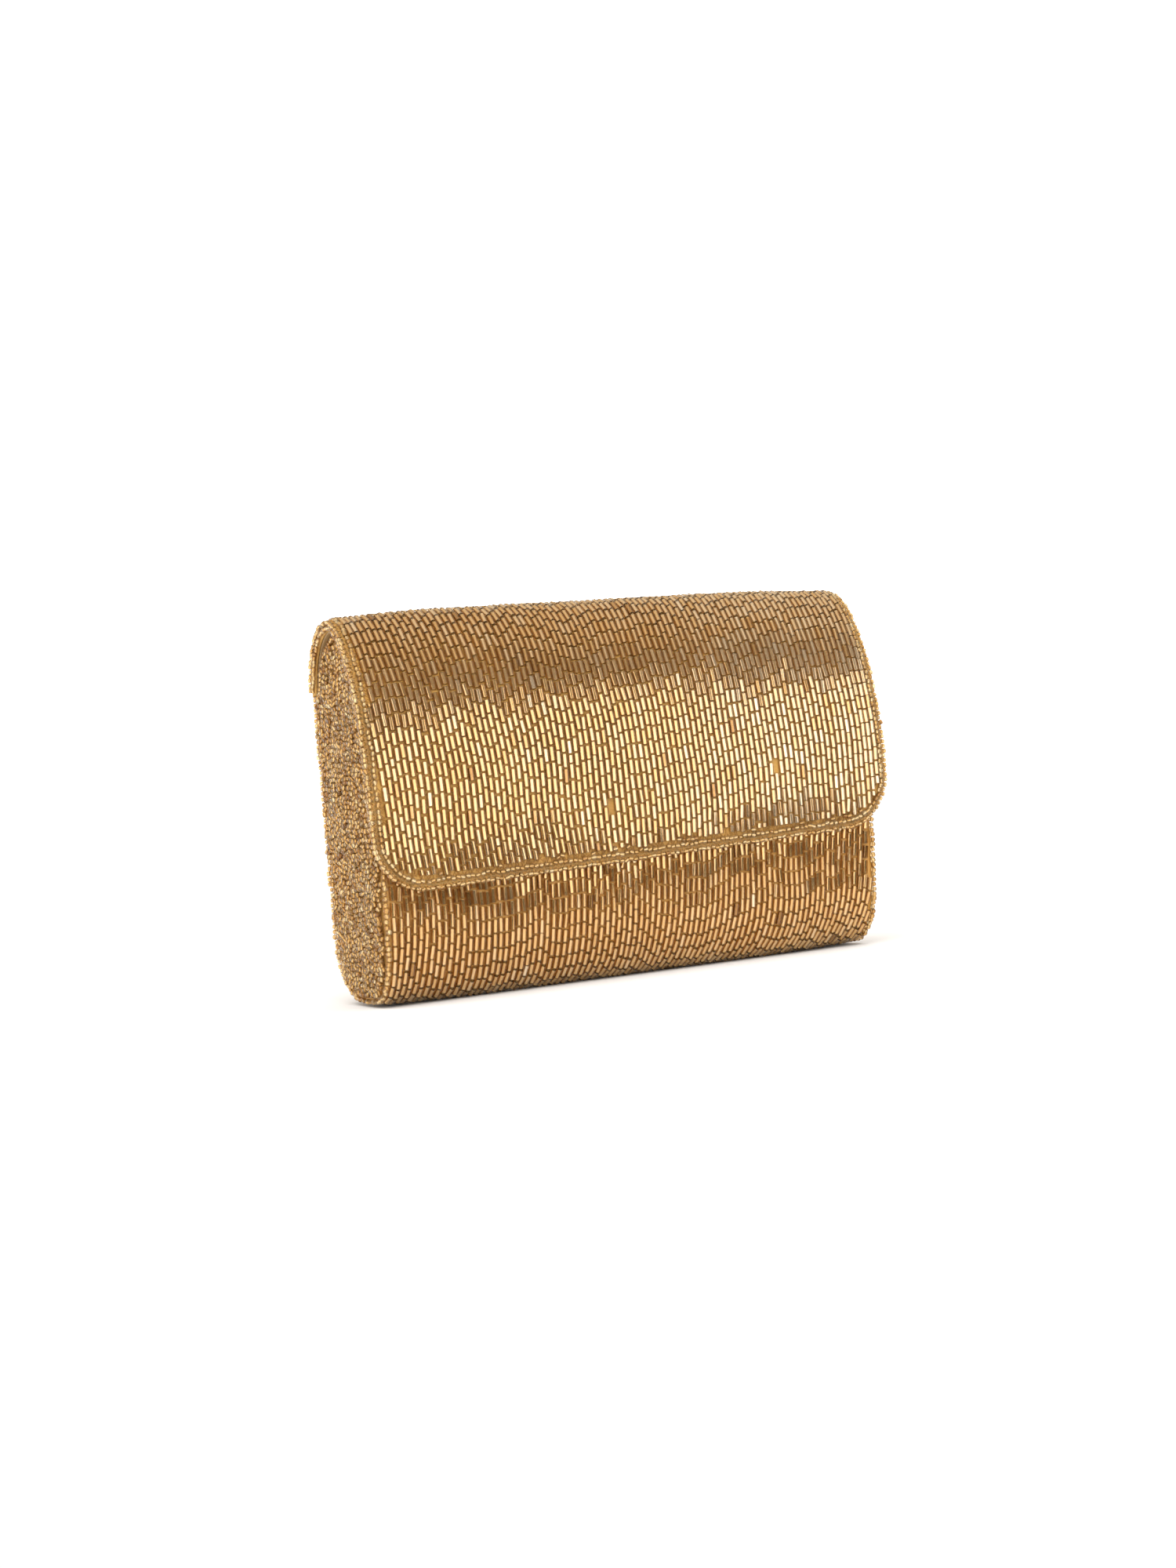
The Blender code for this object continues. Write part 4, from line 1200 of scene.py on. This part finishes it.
def studio():
    floor_material, nodes, links, shader = new_material("studio_floor")
    coords = nodes.new("ShaderNodeTexCoord")
    tint = noise(nodes, links, coords, 3.0, 2.0)
    greys = [(0.3, (0.86, 0.86, 0.855)), (0.7, (0.89, 0.89, 0.885))]
    colour_by(nodes, links, shader, tint.outputs["Fac"], greys)
    shader.inputs["Roughness"].default_value = 0.9
    shader.inputs["Specular IOR Level"].default_value = 0.1
    turn = np.linspace(0, math.tau, 65)[:-1]
    reach = np.where(np.sin(turn) < 0, 0.56, 4.0)
    rim = [(r * math.cos(t), r * math.sin(t), -0.00005) for r, t in zip(reach, turn)]
    mesh = bpy.data.meshes.new("studio_floor")
    mesh.from_pydata(rim, [], [list(range(64))])
    mesh.materials.append(floor_material)
    floor = bpy.data.objects.new("studio_floor", mesh)
    bpy.context.scene.collection.objects.link(floor)
    card("dark_strip", [(0.25, 0.0), (0.25, 0.028)], (-100, 100), (0.015, 0.014, 0.012))

    world = bpy.data.worlds.new("studio")
    bpy.context.scene.world = world
    world.use_nodes = True
    nodes, links = world.node_tree.nodes, world.node_tree.links
    coords = nodes.new("ShaderNodeTexCoord")
    split = nodes.new("ShaderNodeSeparateXYZ")
    links.new(coords.outputs["Generated"], split.inputs[0])
    lifted = maths(nodes, links, "MULTIPLY_ADD", split.outputs["Z"], 0.8, 0.2)
    grey, white = (0.53, 0.53, 0.53), (1.0, 1.0, 1.0)
    dim, above = (0.11, 0.10, 0.09), (0.42, 0.38, 0.33)
    bands = [(-0.12, grey), (-0.10, white), (0.35, white), (0.39, dim), (0.50, dim)]
    bands += [(0.72, above), (1.0, above)]
    tones = ramp(nodes, [(0.2 + 0.8 * height, tone) for height, tone in bands])
    links.new(lifted, tones.inputs["Fac"])
    links.new(tones.outputs["Color"], nodes["Background"].inputs["Color"])
    nodes["Background"].inputs["Strength"].default_value = 2.0

    lamp = bpy.data.lights.new("soft_top", "SUN")
    lamp.angle = math.radians(75)
    lamp.energy = 2.9
    top = bpy.data.objects.new("soft_top", lamp)
    top.rotation_euler = (math.radians(25), math.radians(-12), 0)
    bpy.context.scene.collection.objects.link(top)
    top.visible_glossy = top.visible_transmission = top.visible_camera = False
    bpy.context.scene.view_settings.view_transform = "Standard"


def camera():
    yaw, pitch, roll = (math.radians(a) for a in (27.52, 0.61, -5.03))
    right = Vector((math.cos(yaw), -math.sin(yaw), 0))
    ahead = Vector((math.sin(yaw) * math.cos(pitch), math.cos(yaw) * math.cos(pitch), -math.sin(pitch)))
    up = right.cross(ahead)
    turned = right * math.cos(roll) + up * math.sin(roll)
    upright = up * math.cos(roll) - right * math.sin(roll)
    data = bpy.data.cameras.new("camera")
    data.lens = 55.8
    data.sensor_width = 36.0
    data.clip_start = 0.01
    made_camera = bpy.data.objects.new("camera", data)
    aim, distance = Vector((-0.00693, 0, 0.06498)), 0.8197
    facing = Matrix((turned, upright, -ahead)).transposed().to_4x4()
    made_camera.matrix_world = Matrix.Translation(aim - ahead * distance) @ facing
    bpy.context.scene.collection.objects.link(made_camera)
    bpy.context.scene.camera = made_camera


def main():
    camera()
    body_fabric()
    body_bugles()
    seam_strings()
    gusset_pieces()
    body_layers()
    front_facing()
    mouth_edge()
    gusset_tops()
    pocket()
    flap_layers()
    flap_bugles()
    flap_strings()
    filling_seeds()
    couching()
    edge_cord()
    snap_finish()
    studio()


main()
